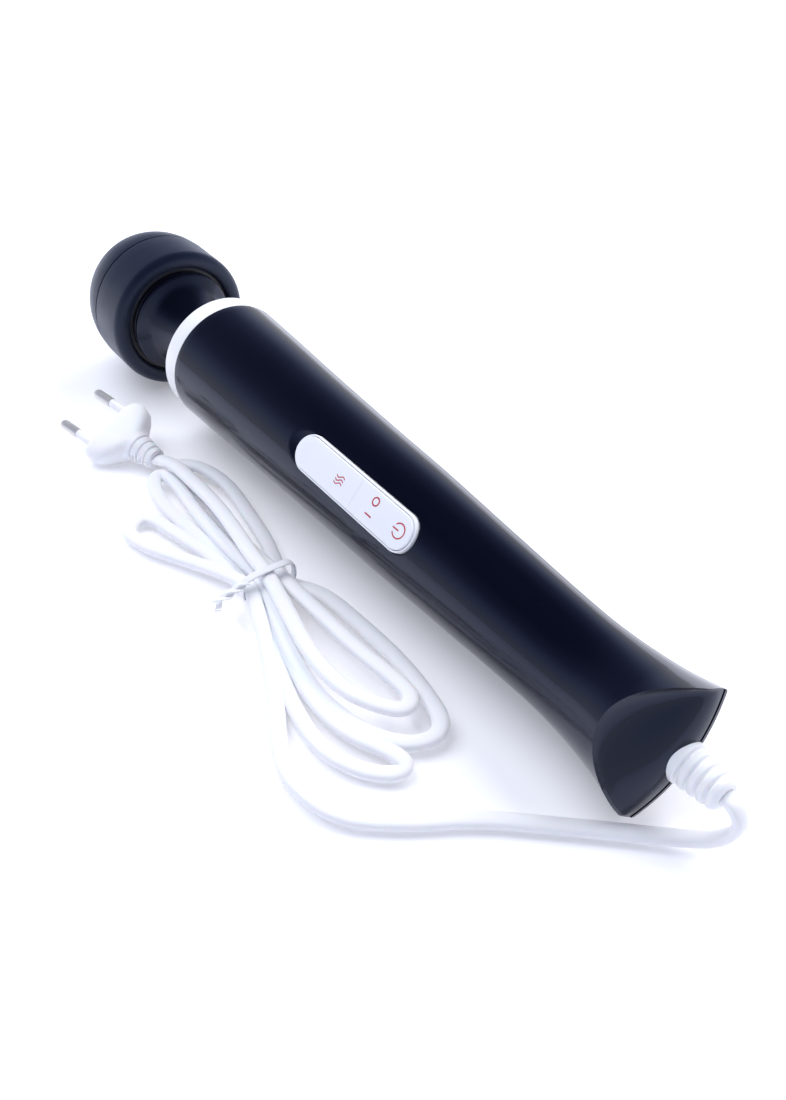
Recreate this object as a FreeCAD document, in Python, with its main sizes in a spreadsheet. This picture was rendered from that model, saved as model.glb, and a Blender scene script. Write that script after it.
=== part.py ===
import FreeCAD, Part
import math
import os
import Sketcher

# Corded handheld wand massager lying on a table, millimetres, +Z up.
# The wand is drawn in its own frame: x along the axis (head at -x, cord end at +x),
# y across in the parting plane of the two handle shells, z out through the key panel.
# Four frames place the nodes: the wand, its panel, the plug, and the row itself for the cord.

os.makedirs("parts", exist_ok=True)
Vec = FreeCAD.Vector
X_AXIS = Vec(1, 0, 0)
Y_AXIS = Vec(0, 1, 0)
Z_AXIS = Vec(0, 0, 1)
doc = FreeCAD.newDocument("wand_massager")
sheet = doc.addObject("Spreadsheet::Sheet", "d")

# ---------------------------------------------------------------- driving dimensions

SIZES = {
    # how the wand lies: row position of its origin, tilt about y, roll of the panel about x
    "lie_x": 34.42, "lie_z": 24.5, "lie_tilt": 1.733, "lie_roll": 51.12,
    # head
    "head_mid": -179, "cap_rad": 29, "cap_wall": 2.5,
    "house_wall": 2, "cap_gap": 0.05, "house_end": -160, "plate_thick": 3, "plate_hole": 6.5,
    "front_boss_rad": 9, "front_boss_x": -203.6, "front_seat_x": -202.5, "front_bear_rad": 6.5,
    "front_bear_end": -197, "front_shaft_rad": 3,
    "rear_hub_rad": 10.5, "rear_bear_rad": 8, "rear_bear_x": -170, "rear_bear_thick": 5, "rear_shaft_rad": 4,
    "run_gap": 0.05, "shaft_end": -153, "weight_rad": 13.5, "weight_x": -194, "weight_long": 20,
    "head_screw_ring": 17, "head_boss_rad": 3, "head_boss_x": -176, "screw_rad": 1.25, "head_screw_long": 9,
    "screw_head_rad": 2.3, "screw_head_tall": 1.6,
    # neck
    "coupler_rad": 6, "coupler_long": 6, "tube_rad": 4.5, "tube_bore": 2.6, "tube_gap": 0.1,
    "front_coupler_x": -157, "rear_coupler_x": -131,
    # collar and handle shells
    "end_plan_rad": 70.3, "end_x": 125.5, "scoop_rad": 50, "scoop_x": 149.5, "scoop_z": 53.5,
    "under_scoop_x": 155, "under_scoop_z": 40.4,
    "half_wide": 40, "rib_long": 6, "front_rib_x": -98, "rear_rib_x": -70, "rib_rad": 22.6, "rear_rib_rad": 21.4,
    "shell_boss_rad": 3.2, "shell_screw_rad": 1.3, "shell_head_rad": 2.8, "shell_head_z": -10,
    "shell_screw_top": 8, "shell_head_tall": 2,
    # motor
    "can_rad": 15, "can_wall": 1.2, "can_x": -100, "can_long": 36, "hub_rad": 2.5, "end_cap_thick": 4,
    "core_rad": 11, "core_x": -94, "core_long": 24, "magnet_in": 12, "magnet_x": -95, "magnet_long": 26,
    "motor_shaft_x": -127, "motor_shaft_end": -58, "mount_thick": 2.5, "mount_rad": 17,
    "mount_hole": 5, "mount_screw_y": 8, "mount_screw_rad": 1.2, "mount_screw_long": 3.5, "mount_head_rad": 2,
    "mount_head_tall": 1.4,
    "damper_rad": 19.2,
    # panel: x along the pill, z = 0 at its crown
    "panel_x": -6.4, "panel_z": 21.6, "panel_slope": 1.7, "panel_long": 62.5, "panel_wide": 13.5, "panel_rim": 0.7,
    "key_gap": 0.12, "key_split": 2.3, "crown_rad": 45, "frame_low": -5, "frame_top": -0.75, "key_low": -5.2,
    "mat_low": -6.6, "mat_wide": 13.5, "mat_long": 59, "plunger_low": -7.4, "plunger_rad": 1.7,
    "switch_top": -7, "switch_low": -9.2, "switch_wide": 6, "switch_pit": -8.1, "power_key_x": 20, "mode_key_x": -7,
    "board_low": -10.8, "board_wide": 16, "board_x0": -41, "board_x1": 41.5, "board_hole_x0": -37.5,
    "board_hole_x1": 38, "board_boss_rad": 2.6, "board_screw_rad": 1.1, "board_head_rad": 2, "board_head_tall": 1.5,
    "board_screw_top": -6.2, "slot_low": -9.2, "rest_rad": 25, "rest_in": 5, "rest_z": 44.3,
    # mains side of the electronics, in the lower half
    "power_x0": -46, "power_x1": 48, "power_wide": 20, "power_low": -9, "power_top": -7.4,
    "power_hole_x0": -42, "power_hole_x1": 44,
    "choke_x": 18, "choke_long": 15, "choke_wide": 13, "choke_tall": 12,
    "cap_x": -8, "cap_body_rad": 4.5, "cap_body_long": 18, "fuse_x": 36, "fuse_rad": 2, "fuse_long": 12,
    "rect_x": -24, "rect_long": 8, "rect_wide": 8, "rect_tall": 5,
    # cord entry
    "gland_seat_x": 112, "gland_end": 139, "gland_rad": 6.5, "cord_rad": 2.7, "entry_x": 96, "entry_end": 109,
    "entry_half": 9.5, "entry_top": 8, "clamp_x": 101, "clamp_long": 6, "clamp_half": 8.5, "clamp_tall": 2.5,
    "clamp_screw_y": 6, "clamp_screw_low": -7, "clamp_screw_rad": 1.2, "clamp_head_rad": 2, "clamp_head_tall": 1.5,
    "lead_rad": 0.8,
    # plug: x along the pins, y across, z up through the moulding
    "pin_rad": 2, "pin_bare": 9.5, "sleeve_rad": 1.7, "sleeve_long": 9.5, "pin_half": 9.2, "pin_root": 6,
    "plug_deep": 14, "plug_thick": 12.4, "plug_lens_rad": 22,
    "relief_long": 12, "relief_base": 6, "relief_end": 4,
    # hank and tie
    "hank_loops_tall": 5.3, "hank_return_tall": 8, "waist_x": 11, "waist_y": -52, "waist_long": 12, "waist_wide": 18,
    "waist_tall": 9.5, "tie_x": 15, "tie_wide": 4, "tie_thick": 0.7,
}

# Outlines: (x, radius) stations about the wand axis, or plan points.
BAND_OUTLINE = [(-179, 26.5), (-179, 28.6), (-178.4, 28.6), (-178.4, 29.2), (-159, 29.2), (-158.5, 29.3),
                (-157.6, 28.9), (-157.4, 28.4), (-157.4, 26.9), (-158.4, 26.2), (-160, 26.2), (-160, 26.5)]
BOOT_OUTLINE = [(-160, 12.5), (-160, 21.3), (-156.6, 21.3), (-155.9, 20.5), (-153.5, 16.5), (-141, 12), (-128, 16.8),
                (-122, 17.6), (-122, 18), (-118, 18), (-118, 15.4), (-126, 14.8), (-141, 9.8), (-154, 12.5)]
COLLAR_OUTLINE = [(-125.4, 18), (-125.4, 23.5), (-124.7, 24.3), (-117, 23.9), (-117, 22.2), (-113, 22.2), (-113, 18)]
CAVITY_OUTLINE = [(-118, 0), (-118, 22.2), (-113, 22.2), (-92, 21.2), (-63, 19.9), (-27, 18.6), (2.5, 17.8),
                  (42, 16), (78, 14.6), (96, 14.6), (96, 0)]
GLAND_OUTLINE = [(112, 0), (112, 6.5), (126.6, 6.5), (126.6, 5.2), (127.6, 5.2), (127.6, 6.3), (129.6, 6.2),
                 (129.6, 5), (130.6, 5), (130.6, 6), (132.6, 5.9), (132.6, 4.8), (133.6, 4.8), (133.6, 5.7),
                 (135.6, 5.6), (135.6, 4.5), (136.4, 4.5), (136.4, 5.3), (138.2, 5), (139, 4), (139, 0)]
# handle cross-sections: x, half width across, half height through the panel
HANDLE_SECTIONS = [(-117, 24.6, 24.6), (-92, 23.6, 23.6), (-63, 22.3, 22.3), (-27, 21, 21), (2.5, 20.2, 20.2),
                   (42, 18.4, 18.4), (78, 17, 17), (93, 17.3, 18), (108.5, 18.8, 22), (117, 20.4, 25.4),
                   (126, 22.6, 30)]
PLUG_PLAN = [(0, -13), (0, 13), (-3, 15.5), (-8, 14.5), (-14, 7), (-14, -7), (-8, -14.5), (-3, -15.5)]
LOOP_PLAN = [(13, -52), (-8, -62.5), (-37, -71), (-42, -67), (-36, -61), (-50, -53.5), (-64, -51), (-65, -45),
             (-58, -42.5), (-58, -35.5), (-63, -34), (-62, -30), (-58, -29), (-22, -29), (13, -34.5)]
RETURN_PLAN = [(21, -49.5), (37, -53), (49, -58), (70, -69), (81, -73.3), (105, -58), (109, -53), (104, -43),
               (106, -36), (101, -31.5), (60, -27.5), (21, -34.5)]
# shell screws: x and half spacing across
SHELL_SCREWS = [(-53, 15), (64, 11)]

# Cord routes along the table, row millimetres.
GLAND_ROUTE = [(173.36, 0, 20.3), (177.1, 0, 20.18), (179.9, 0.4, 14.8), (176.8, -1.9, 8), (170.4, -5.6, 4),
               (161, -14.7, 3), (146.7, -30.2, 3), (132.2, -45.9, 3), (121.2, -64.5, 3), (109, -78, 3),
               (90.8, -81, 3), (70, -72.6, 3), (48.6, -61.6, 3), (34, -56, 4.5), (23, -52, 5.5)]
PLUG_ROUTE = [(11, -43.5, 8.2), (-3, -40.9, 8.2), (-19, -39, 8.2), (-37, -38.6, 8.2), (-52, -39, 8.2),
              (-61.5, -40.2, 7.4), (-69.8, -41.8, 5.5)]
# plug: centre of its pin face, direction of the pins, roll about them
PLUG_AT = (-94.6, -48.6, 9.1)
PLUG_AIM = (-0.955, -0.262, 0.14)
PLUG_ROLL = -20


def fill_sheet():
    """Every size is a named cell, and so is every station of every outline."""
    cells = dict(SIZES)
    tables = {"band_o": BAND_OUTLINE, "boot_o": BOOT_OUTLINE, "collar_o": COLLAR_OUTLINE, "cavity_o": CAVITY_OUTLINE,
              "gland_o": GLAND_OUTLINE, "plug_o": PLUG_PLAN, "loop_o": LOOP_PLAN, "return_o": RETURN_PLAN,
              "handle_o": HANDLE_SECTIONS, "screw_o": SHELL_SCREWS}
    for table, rows in tables.items():
        for number, row in enumerate(rows):
            for letter, value in zip("pqr", row):
                cells["%s%d%s" % (table, number, letter)] = value
    for line, (name, value) in enumerate(cells.items(), start=1):
        sheet.set("A%d" % line, name)
        sheet.set("B%d" % line, "%.6g" % value)
        sheet.setAlias("B%d" % line, name)
    doc.recompute()


fill_sheet()

WAND = FreeCAD.Placement(Vec(SIZES["lie_x"], 0, SIZES["lie_z"]),
                         FreeCAD.Rotation(Y_AXIS, SIZES["lie_tilt"]).multiply(
                             FreeCAD.Rotation(X_AXIS, SIZES["lie_roll"])))
PANEL_LOCAL = FreeCAD.Placement(Vec(SIZES["panel_x"], 0, SIZES["panel_z"]),
                                FreeCAD.Rotation(Y_AXIS, SIZES["panel_slope"]))
PANEL = WAND.multiply(PANEL_LOCAL)


def plug_placement():
    aim = Vec(*PLUG_AIM).normalize()
    across = Z_AXIS.cross(aim).normalize()
    upward = aim.cross(across)
    level = FreeCAD.Rotation(aim, across, upward, "XYZ")
    return FreeCAD.Placement(Vec(*PLUG_AT), level.multiply(FreeCAD.Rotation(X_AXIS, PLUG_ROLL)))


PLUG = plug_placement()
nodes = []

# ---------------------------------------------------------------- building blocks


def move(item, at):
    for letter, text in zip("xyz", at):
        item.setExpression("Placement.Base." + letter, text)
    return item


def box(name, size, at):
    item = doc.addObject("Part::Box", name)
    for side, text in zip(("Length", "Width", "Height"), size):
        item.setExpression(side, text)
    return move(item, at)


def rod(name, radius, length, at, axis=X_AXIS):
    """A cylinder from `at` along the axis."""
    item = doc.addObject("Part::Cylinder", name)
    item.setExpression("Radius", radius)
    item.setExpression("Height", length)
    item.Placement = FreeCAD.Placement(Vec(0, 0, 0), FreeCAD.Rotation(Z_AXIS, axis))
    return move(item, at)


def fuse(name, items):
    item = doc.addObject("Part::MultiFuse", name)
    item.Shapes = items
    return item


def group(name, items):
    """Separate solids kept together, or one primitive that still has to be placed."""
    item = doc.addObject("Part::Compound", name)
    item.Links = items
    return item


def cut(name, base, *tools):
    """The base less every tool."""
    tool = tools[0] if len(tools) == 1 else fuse(name + "_tools", list(tools))
    item = doc.addObject("Part::Cut", name)
    item.Base = base
    item.Tool = tool
    return item


def common(name, first, second):
    item = doc.addObject("Part::Common", name)
    item.Base = first
    item.Tool = second
    return item


def node(name, item, place):
    """Names a finished sub-part and puts it where it belongs in the row."""
    item.Label = name
    item.Placement = place
    nodes.append(item)
    return item


def arc_middle(start, end, radius):
    """The middle of an arc from start to end; a positive radius bulges to the left of the way."""
    chord = end - start
    half = chord.Length / 2
    side = Vec(-chord.y, chord.x, 0).normalize() * (1 if radius > 0 else -1)
    rise = abs(radius) - math.sqrt(radius * radius - half * half)
    return (start + end) * 0.5 + side * rise


def draw_outline(sketch, table, points, arcs):
    """A closed outline whose corners, and arc radii, follow their cells."""
    corners = [Vec(p[0], p[1], 0) for p in points]
    ends = []
    for number, start in enumerate(corners):
        end = corners[(number + 1) % len(corners)]
        if number in arcs:
            edge = Part.Arc(start, arc_middle(start, end, arcs[number]), end)
        else:
            edge = Part.LineSegment(start, end)
        index = sketch.addGeometry(edge, False)
        first = 1 if (sketch.Geometry[index].StartPoint - start).Length < 1e-6 else 2
        ends.append((index, first, 3 - first))
    for number, (index, first, last) in enumerate(ends):
        following = ends[(number + 1) % len(ends)]
        sketch.addConstraint(Sketcher.Constraint("Coincident", index, last, following[0], following[1]))
        for kind, letter, value in (("DistanceX", "p", corners[number].x), ("DistanceY", "q", corners[number].y)):
            which = sketch.addConstraint(Sketcher.Constraint(kind, index, first, value))
            sketch.setExpression("Constraints[%d]" % which, "d.%s%d%s" % (table, number, letter))
        if number in arcs:
            sketch.addConstraint(Sketcher.Constraint("Radius", index, abs(arcs[number])))


def outline_body(name, table, points, arcs=None):
    body = doc.addObject("PartDesign::Body", name)
    sketch = body.newObject("Sketcher::SketchObject", name + "_outline")
    plane = [item for item in body.Origin.OriginFeatures if item.Role == "XY_Plane"][0]
    sketch.AttachmentSupport = [(plane, "")]
    sketch.MapMode = "FlatFace"
    draw_outline(sketch, table, points, arcs or {})
    return body, sketch


def turned(name, table, points, arcs=None):
    """An outline turned about the wand axis."""
    body, sketch = outline_body(name, table, points, arcs)
    turn = body.newObject("PartDesign::Revolution", name + "_turn")
    turn.Profile = sketch
    turn.ReferenceAxis = (sketch, ["H_Axis"])
    turn.Angle = 360
    return body


def raised(name, table, points, tall, low="0"):
    """An outline raised along z."""
    body, sketch = outline_body(name, table, points)
    sketch.setExpression("AttachmentOffset.Base.z", low)
    pad = body.newObject("PartDesign::Pad", name + "_pad")
    pad.Profile = sketch
    pad.setExpression("Length", tall)
    return body


def pill(name, long_side, wide_side, low, tall):
    """A round-ended bar along x, centred on the z axis."""
    wide_side = "(%s)" % wide_side
    half = "(%s - %s) / 2" % (long_side, wide_side)
    middle = box(name + "_middle", ("2 * " + half, wide_side, tall), ("-1 * " + half, "-1 * %s / 2" % wide_side, low))
    left = rod(name + "_left", wide_side + " / 2", tall, ("-1 * " + half, "0", low), Z_AXIS)
    right = rod(name + "_right", wide_side + " / 2", tall, (half, "0", low), Z_AXIS)
    return fuse(name, [middle, left, right])


def swept(name, route, radius, place=None):
    """A round cord or wire: straight runs joined by tangent arcs."""
    points = [Vec(*point) for point in route]
    edges = []
    start = points[0]
    radii = []
    for before, corner, after in zip(points, points[1:], points[2:]):
        incoming = (corner - before).normalize()
        outgoing = (after - corner).normalize()
        half_turn = incoming.getAngle(outgoing) / 2
        setback = 0.45 * min((corner - before).Length, (after - corner).Length)
        radii.append(setback / math.tan(half_turn))
        arc_start = corner - incoming * setback
        arc_end = corner + outgoing * setback
        centre = corner + (outgoing - incoming).normalize() * (radii[-1] / math.cos(half_turn))
        middle = centre + (corner - centre).normalize() * radii[-1]
        edges.append(Part.LineSegment(start, arc_start).toShape())
        edges.append(Part.Arc(arc_start, middle, arc_end).toShape())
        start = arc_end
    edges.append(Part.LineSegment(start, points[-1]).toShape())
    path = Part.Wire(edges)
    section = Part.Wire(Part.Circle(points[0], points[1] - points[0], radius).toShape())
    item = doc.addObject("Part::Feature", name)
    item.Shape = path.makePipeShell([section], True, True)
    print("%s: length %.1f, volume %.1f of %.1f, bend radii %s" % (
        name, path.Length, item.Shape.Volume, math.pi * radius * radius * path.Length,
        " ".join("%.1f" % value for value in radii)))
    return node(name, item, place or FreeCAD.Placement())


def cell(name):
    return sheet.get(name)


# ---------------------------------------------------------------- head


def half_ball(name, radius):
    """The domed half of the head, from its pole to its middle."""
    ball = doc.addObject("Part::Sphere", name + "_ball")
    ball.setExpression("Radius", radius)
    move(ball, ("d.head_mid", "0", "0"))
    keep = box(name + "_keep", ("100", "200", "200"), ("d.head_mid - 100", "-100", "-100"))
    return common(name, ball, keep)


def make_head():
    dome = cut("cap_dome", half_ball("cap_outer", "d.cap_rad"), half_ball("cap_inner", "d.cap_rad - d.cap_wall"))
    band = turned("cap_band", "band_o", BAND_OUTLINE)
    node("head_cap", fuse("cap_solid", [dome, band]), WAND)

    radii = ("d.cap_rad - d.cap_wall - d.cap_gap", "d.cap_rad - d.cap_wall - d.house_wall")
    barrels = [rod("house_barrel_%d" % number, radius, "d.house_end - d.head_mid", ("d.head_mid", "0", "0"))
               for number, radius in enumerate(radii)]
    outer = fuse("house_outer", [half_ball("house_ball", "d.cap_rad - d.cap_wall - d.cap_gap"), barrels[0]])
    shell = cut("house_shell", outer, half_ball("house_hollow", "d.cap_rad - d.cap_wall - d.house_wall"), barrels[1])
    boss = rod("front_boss", "d.front_boss_rad", "d.front_bear_end - d.front_boss_x", ("d.front_boss_x", "0", "0"))
    posts = []
    bores = [rod("front_seat", "d.front_bear_rad", "d.front_bear_end - d.front_seat_x",
                 ("d.front_seat_x", "0", "0"))]
    for number in range(3):
        across = "d.head_screw_ring * cos(%d)" % (120 * number + 90)
        up = "d.head_screw_ring * sin(%d)" % (120 * number + 90)
        posts.append(rod("head_post_%d" % number, "d.head_boss_rad", "d.house_end - d.plate_thick - d.head_boss_x",
                         ("d.head_boss_x", across, up)))
        bores.append(rod("head_post_bore_%d" % number, "d.screw_rad", "d.head_screw_long",
                         ("d.house_end - d.screw_head_tall - d.head_screw_long", across, up)))
    webs = []
    for number in range(3):
        web = box("head_web_%d" % number,
                  ("d.house_end - d.plate_thick - d.head_boss_x", "d.head_boss_rad",
                   "d.cap_rad - d.cap_wall - d.house_wall / 2 - d.head_screw_ring - d.head_boss_rad / 2"),
                  ("d.head_boss_x", "-d.head_boss_rad / 2", "d.head_screw_ring + d.head_boss_rad / 2"))
        turned_web = group("head_web_turned_%d" % number, [web])
        turned_web.Placement.Rotation = FreeCAD.Rotation(X_AXIS, 120 * number)
        webs.append(turned_web)
    house = cut("house_bored", fuse("house_solid", [shell, boss] + posts + webs), *bores)
    node("head_housing", house, WAND)

    disc = rod("plate_disc", "d.cap_rad - d.cap_wall - d.house_wall", "d.plate_thick",
               ("d.house_end - d.plate_thick", "0", "0"))
    hub = rod("plate_hub", "d.rear_hub_rad", "d.house_end - d.rear_bear_x", ("d.rear_bear_x", "0", "0"))
    openings = [rod("plate_hole", "d.plate_hole", "20", ("d.house_end - 10", "0", "0")),
                rod("plate_seat", "d.rear_bear_rad", "d.rear_bear_thick", ("d.rear_bear_x", "0", "0")),
                rod("plate_neck", "d.plate_hole", "10", ("d.rear_bear_x + 2", "0", "0"))]
    for number in range(3):
        across = "d.head_screw_ring * cos(%d)" % (120 * number + 90)
        up = "d.head_screw_ring * sin(%d)" % (120 * number + 90)
        openings.append(rod("plate_screw_%d" % number, "d.screw_rad", "5", ("d.house_end - 4", across, up)))
        openings.append(rod("plate_sink_%d" % number, "d.screw_head_rad", "d.screw_head_tall",
                            ("d.house_end - d.screw_head_tall", across, up)))
    node("head_end_plate", cut("plate_bored", fuse("plate_solid", [disc, hub]), *openings), WAND)

    screws = []
    for number in range(3):
        across = "d.head_screw_ring * cos(%d)" % (120 * number + 90)
        up = "d.head_screw_ring * sin(%d)" % (120 * number + 90)
        shank = rod("head_shank_%d" % number, "d.screw_rad", "d.head_screw_long",
                    ("d.house_end - d.screw_head_tall - d.head_screw_long", across, up))
        top = rod("head_screw_top_%d" % number, "d.screw_head_rad", "d.screw_head_tall",
                  ("d.house_end - d.screw_head_tall", across, up))
        screws.append(fuse("head_screw_%d" % number, [shank, top]))
    node("head_screws", group("head_screw_set", screws), WAND)

    for name, radius, bore, start, thick in (
            ("front_bearing", "d.front_bear_rad", "d.front_shaft_rad", "d.front_seat_x",
             "d.front_bear_end - d.front_seat_x"),
            ("rear_bearing", "d.rear_bear_rad", "d.rear_shaft_rad", "d.rear_bear_x", "d.rear_bear_thick")):
        ring = rod(name + "_ring", radius, thick, (start, "0", "0"))
        hole = rod(name + "_hole", bore + " + d.run_gap", thick, (start, "0", "0"))
        node(name, cut(name + "_cut", ring, hole), WAND)

    thin = rod("shaft_thin", "d.front_shaft_rad", "d.weight_x + d.weight_long - d.front_seat_x - 0.3",
               ("d.front_seat_x + 0.3", "0", "0"))
    thick = rod("shaft_thick", "d.rear_shaft_rad", "d.shaft_end - d.weight_x - d.weight_long",
                ("d.weight_x + d.weight_long", "0", "0"))
    node("eccentric_shaft", fuse("shaft_solid", [thin, thick]), WAND)

    half_disc = rod("weight_disc", "d.weight_rad", "d.weight_long", ("d.weight_x", "0", "0"))
    half_disc.Angle = 180
    hub = rod("weight_hub", "d.front_shaft_rad + 2.5", "d.weight_long", ("d.weight_x", "0", "0"))
    bore = rod("weight_bore", "d.front_shaft_rad", "d.weight_long", ("d.weight_x", "0", "0"))
    node("eccentric_weight", cut("weight_cut", fuse("weight_solid", [half_disc, hub]), bore), WAND)


# ---------------------------------------------------------------- neck


def make_neck():
    boot = turned("neck_boot_body", "boot_o", BOOT_OUTLINE, {4: -26.0, 5: -26.0})
    node("neck_boot", boot, WAND)

    tube_start = "d.front_coupler_x + d.coupler_long + d.tube_gap"
    tube_long = "d.rear_coupler_x - d.front_coupler_x - d.coupler_long - 2 * d.tube_gap"
    tube = rod("coupling_tube", "d.tube_rad", tube_long, (tube_start, "0", "0"))
    bore = rod("coupling_bore", "d.tube_bore", tube_long, (tube_start, "0", "0"))
    node("drive_coupling", cut("coupling_cut", tube, bore), WAND)

    front = rod("front_coupler_solid", "d.coupler_rad", "d.coupler_long", ("d.front_coupler_x", "0", "0"))
    front_bore = rod("front_coupler_bore", "d.rear_shaft_rad", "d.shaft_end - d.front_coupler_x",
                     ("d.front_coupler_x", "0", "0"))
    node("front_coupler", cut("front_coupler_cut", front, front_bore), WAND)
    rear = rod("rear_coupler_solid", "d.coupler_rad", "d.coupler_long", ("d.rear_coupler_x", "0", "0"))
    rear_bore = rod("rear_coupler_bore", "d.hub_rad", "d.rear_coupler_x + d.coupler_long - d.motor_shaft_x",
                    ("d.motor_shaft_x", "0", "0"))
    node("rear_coupler", cut("rear_coupler_cut", rear, rear_bore), WAND)


# ---------------------------------------------------------------- handle


def handle_outer(name, height_cell):
    """The handle's outside; the upper half flares higher at the tail than the round lower half."""
    rings = []
    for number in range(len(HANDLE_SECTIONS)):
        ring = doc.addObject("Part::Ellipse", "%s_section_%d" % (name, number))
        ring.setExpression("MajorRadius", "d.handle_o%d%s" % (number, height_cell))
        ring.setExpression("MinorRadius", "d.handle_o%dq" % number)
        ring.Placement = FreeCAD.Placement(Vec(0, 0, 0), FreeCAD.Rotation(Z_AXIS, Y_AXIS, X_AXIS, "ZXY"))
        ring.setExpression("Placement.Base.x", "d.handle_o%dp" % number)
        rings.append(ring)
    loft = doc.addObject("Part::Loft", name + "_loft")
    loft.Sections = rings
    loft.Solid = True
    loft.Ruled = False
    plan = rod(name + "_plan", "d.end_plan_rad", "2 * d.half_wide",
               ("d.end_x - d.end_plan_rad", "0", "-d.half_wide"), Z_AXIS)
    front = box(name + "_front", ("200", "2 * d.half_wide", "2 * d.half_wide"),
                ("-120", "-d.half_wide", "-d.half_wide"))
    scoop = doc.addObject("Part::Sphere", name + "_scoop")
    scoop.setExpression("Radius", "d.scoop_rad")
    if height_cell == "r":
        move(scoop, ("d.scoop_x", "0", "d.scoop_z"))
    else:
        move(scoop, ("d.under_scoop_x", "0", "-d.under_scoop_z"))
    return common(name, cut(name + "_scooped", loft, scoop), fuse(name + "_keep", [plan, front]))


def shell_bosses(side):
    """Screw bosses of one handle half; side is 1 above the parting plane, -1 below."""
    items = []
    for number in range(len(SHELL_SCREWS)):
        for hand in ("", "-"):
            name = "shell_boss_%d%d%s" % (number, side > 0, "a" if hand else "b")
            low = "0" if side > 0 else "-d.half_wide"
            items.append(rod(name, "d.shell_boss_rad", "d.half_wide",
                             ("d.screw_o%dp" % number, "%sd.screw_o%dq" % (hand, number), low), Z_AXIS))
    return items


def panel_tool(name, item):
    """Puts a tool drawn in the panel's frame into the wand's frame."""
    item.Placement = PANEL_LOCAL
    item.Label = name
    return item


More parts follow.
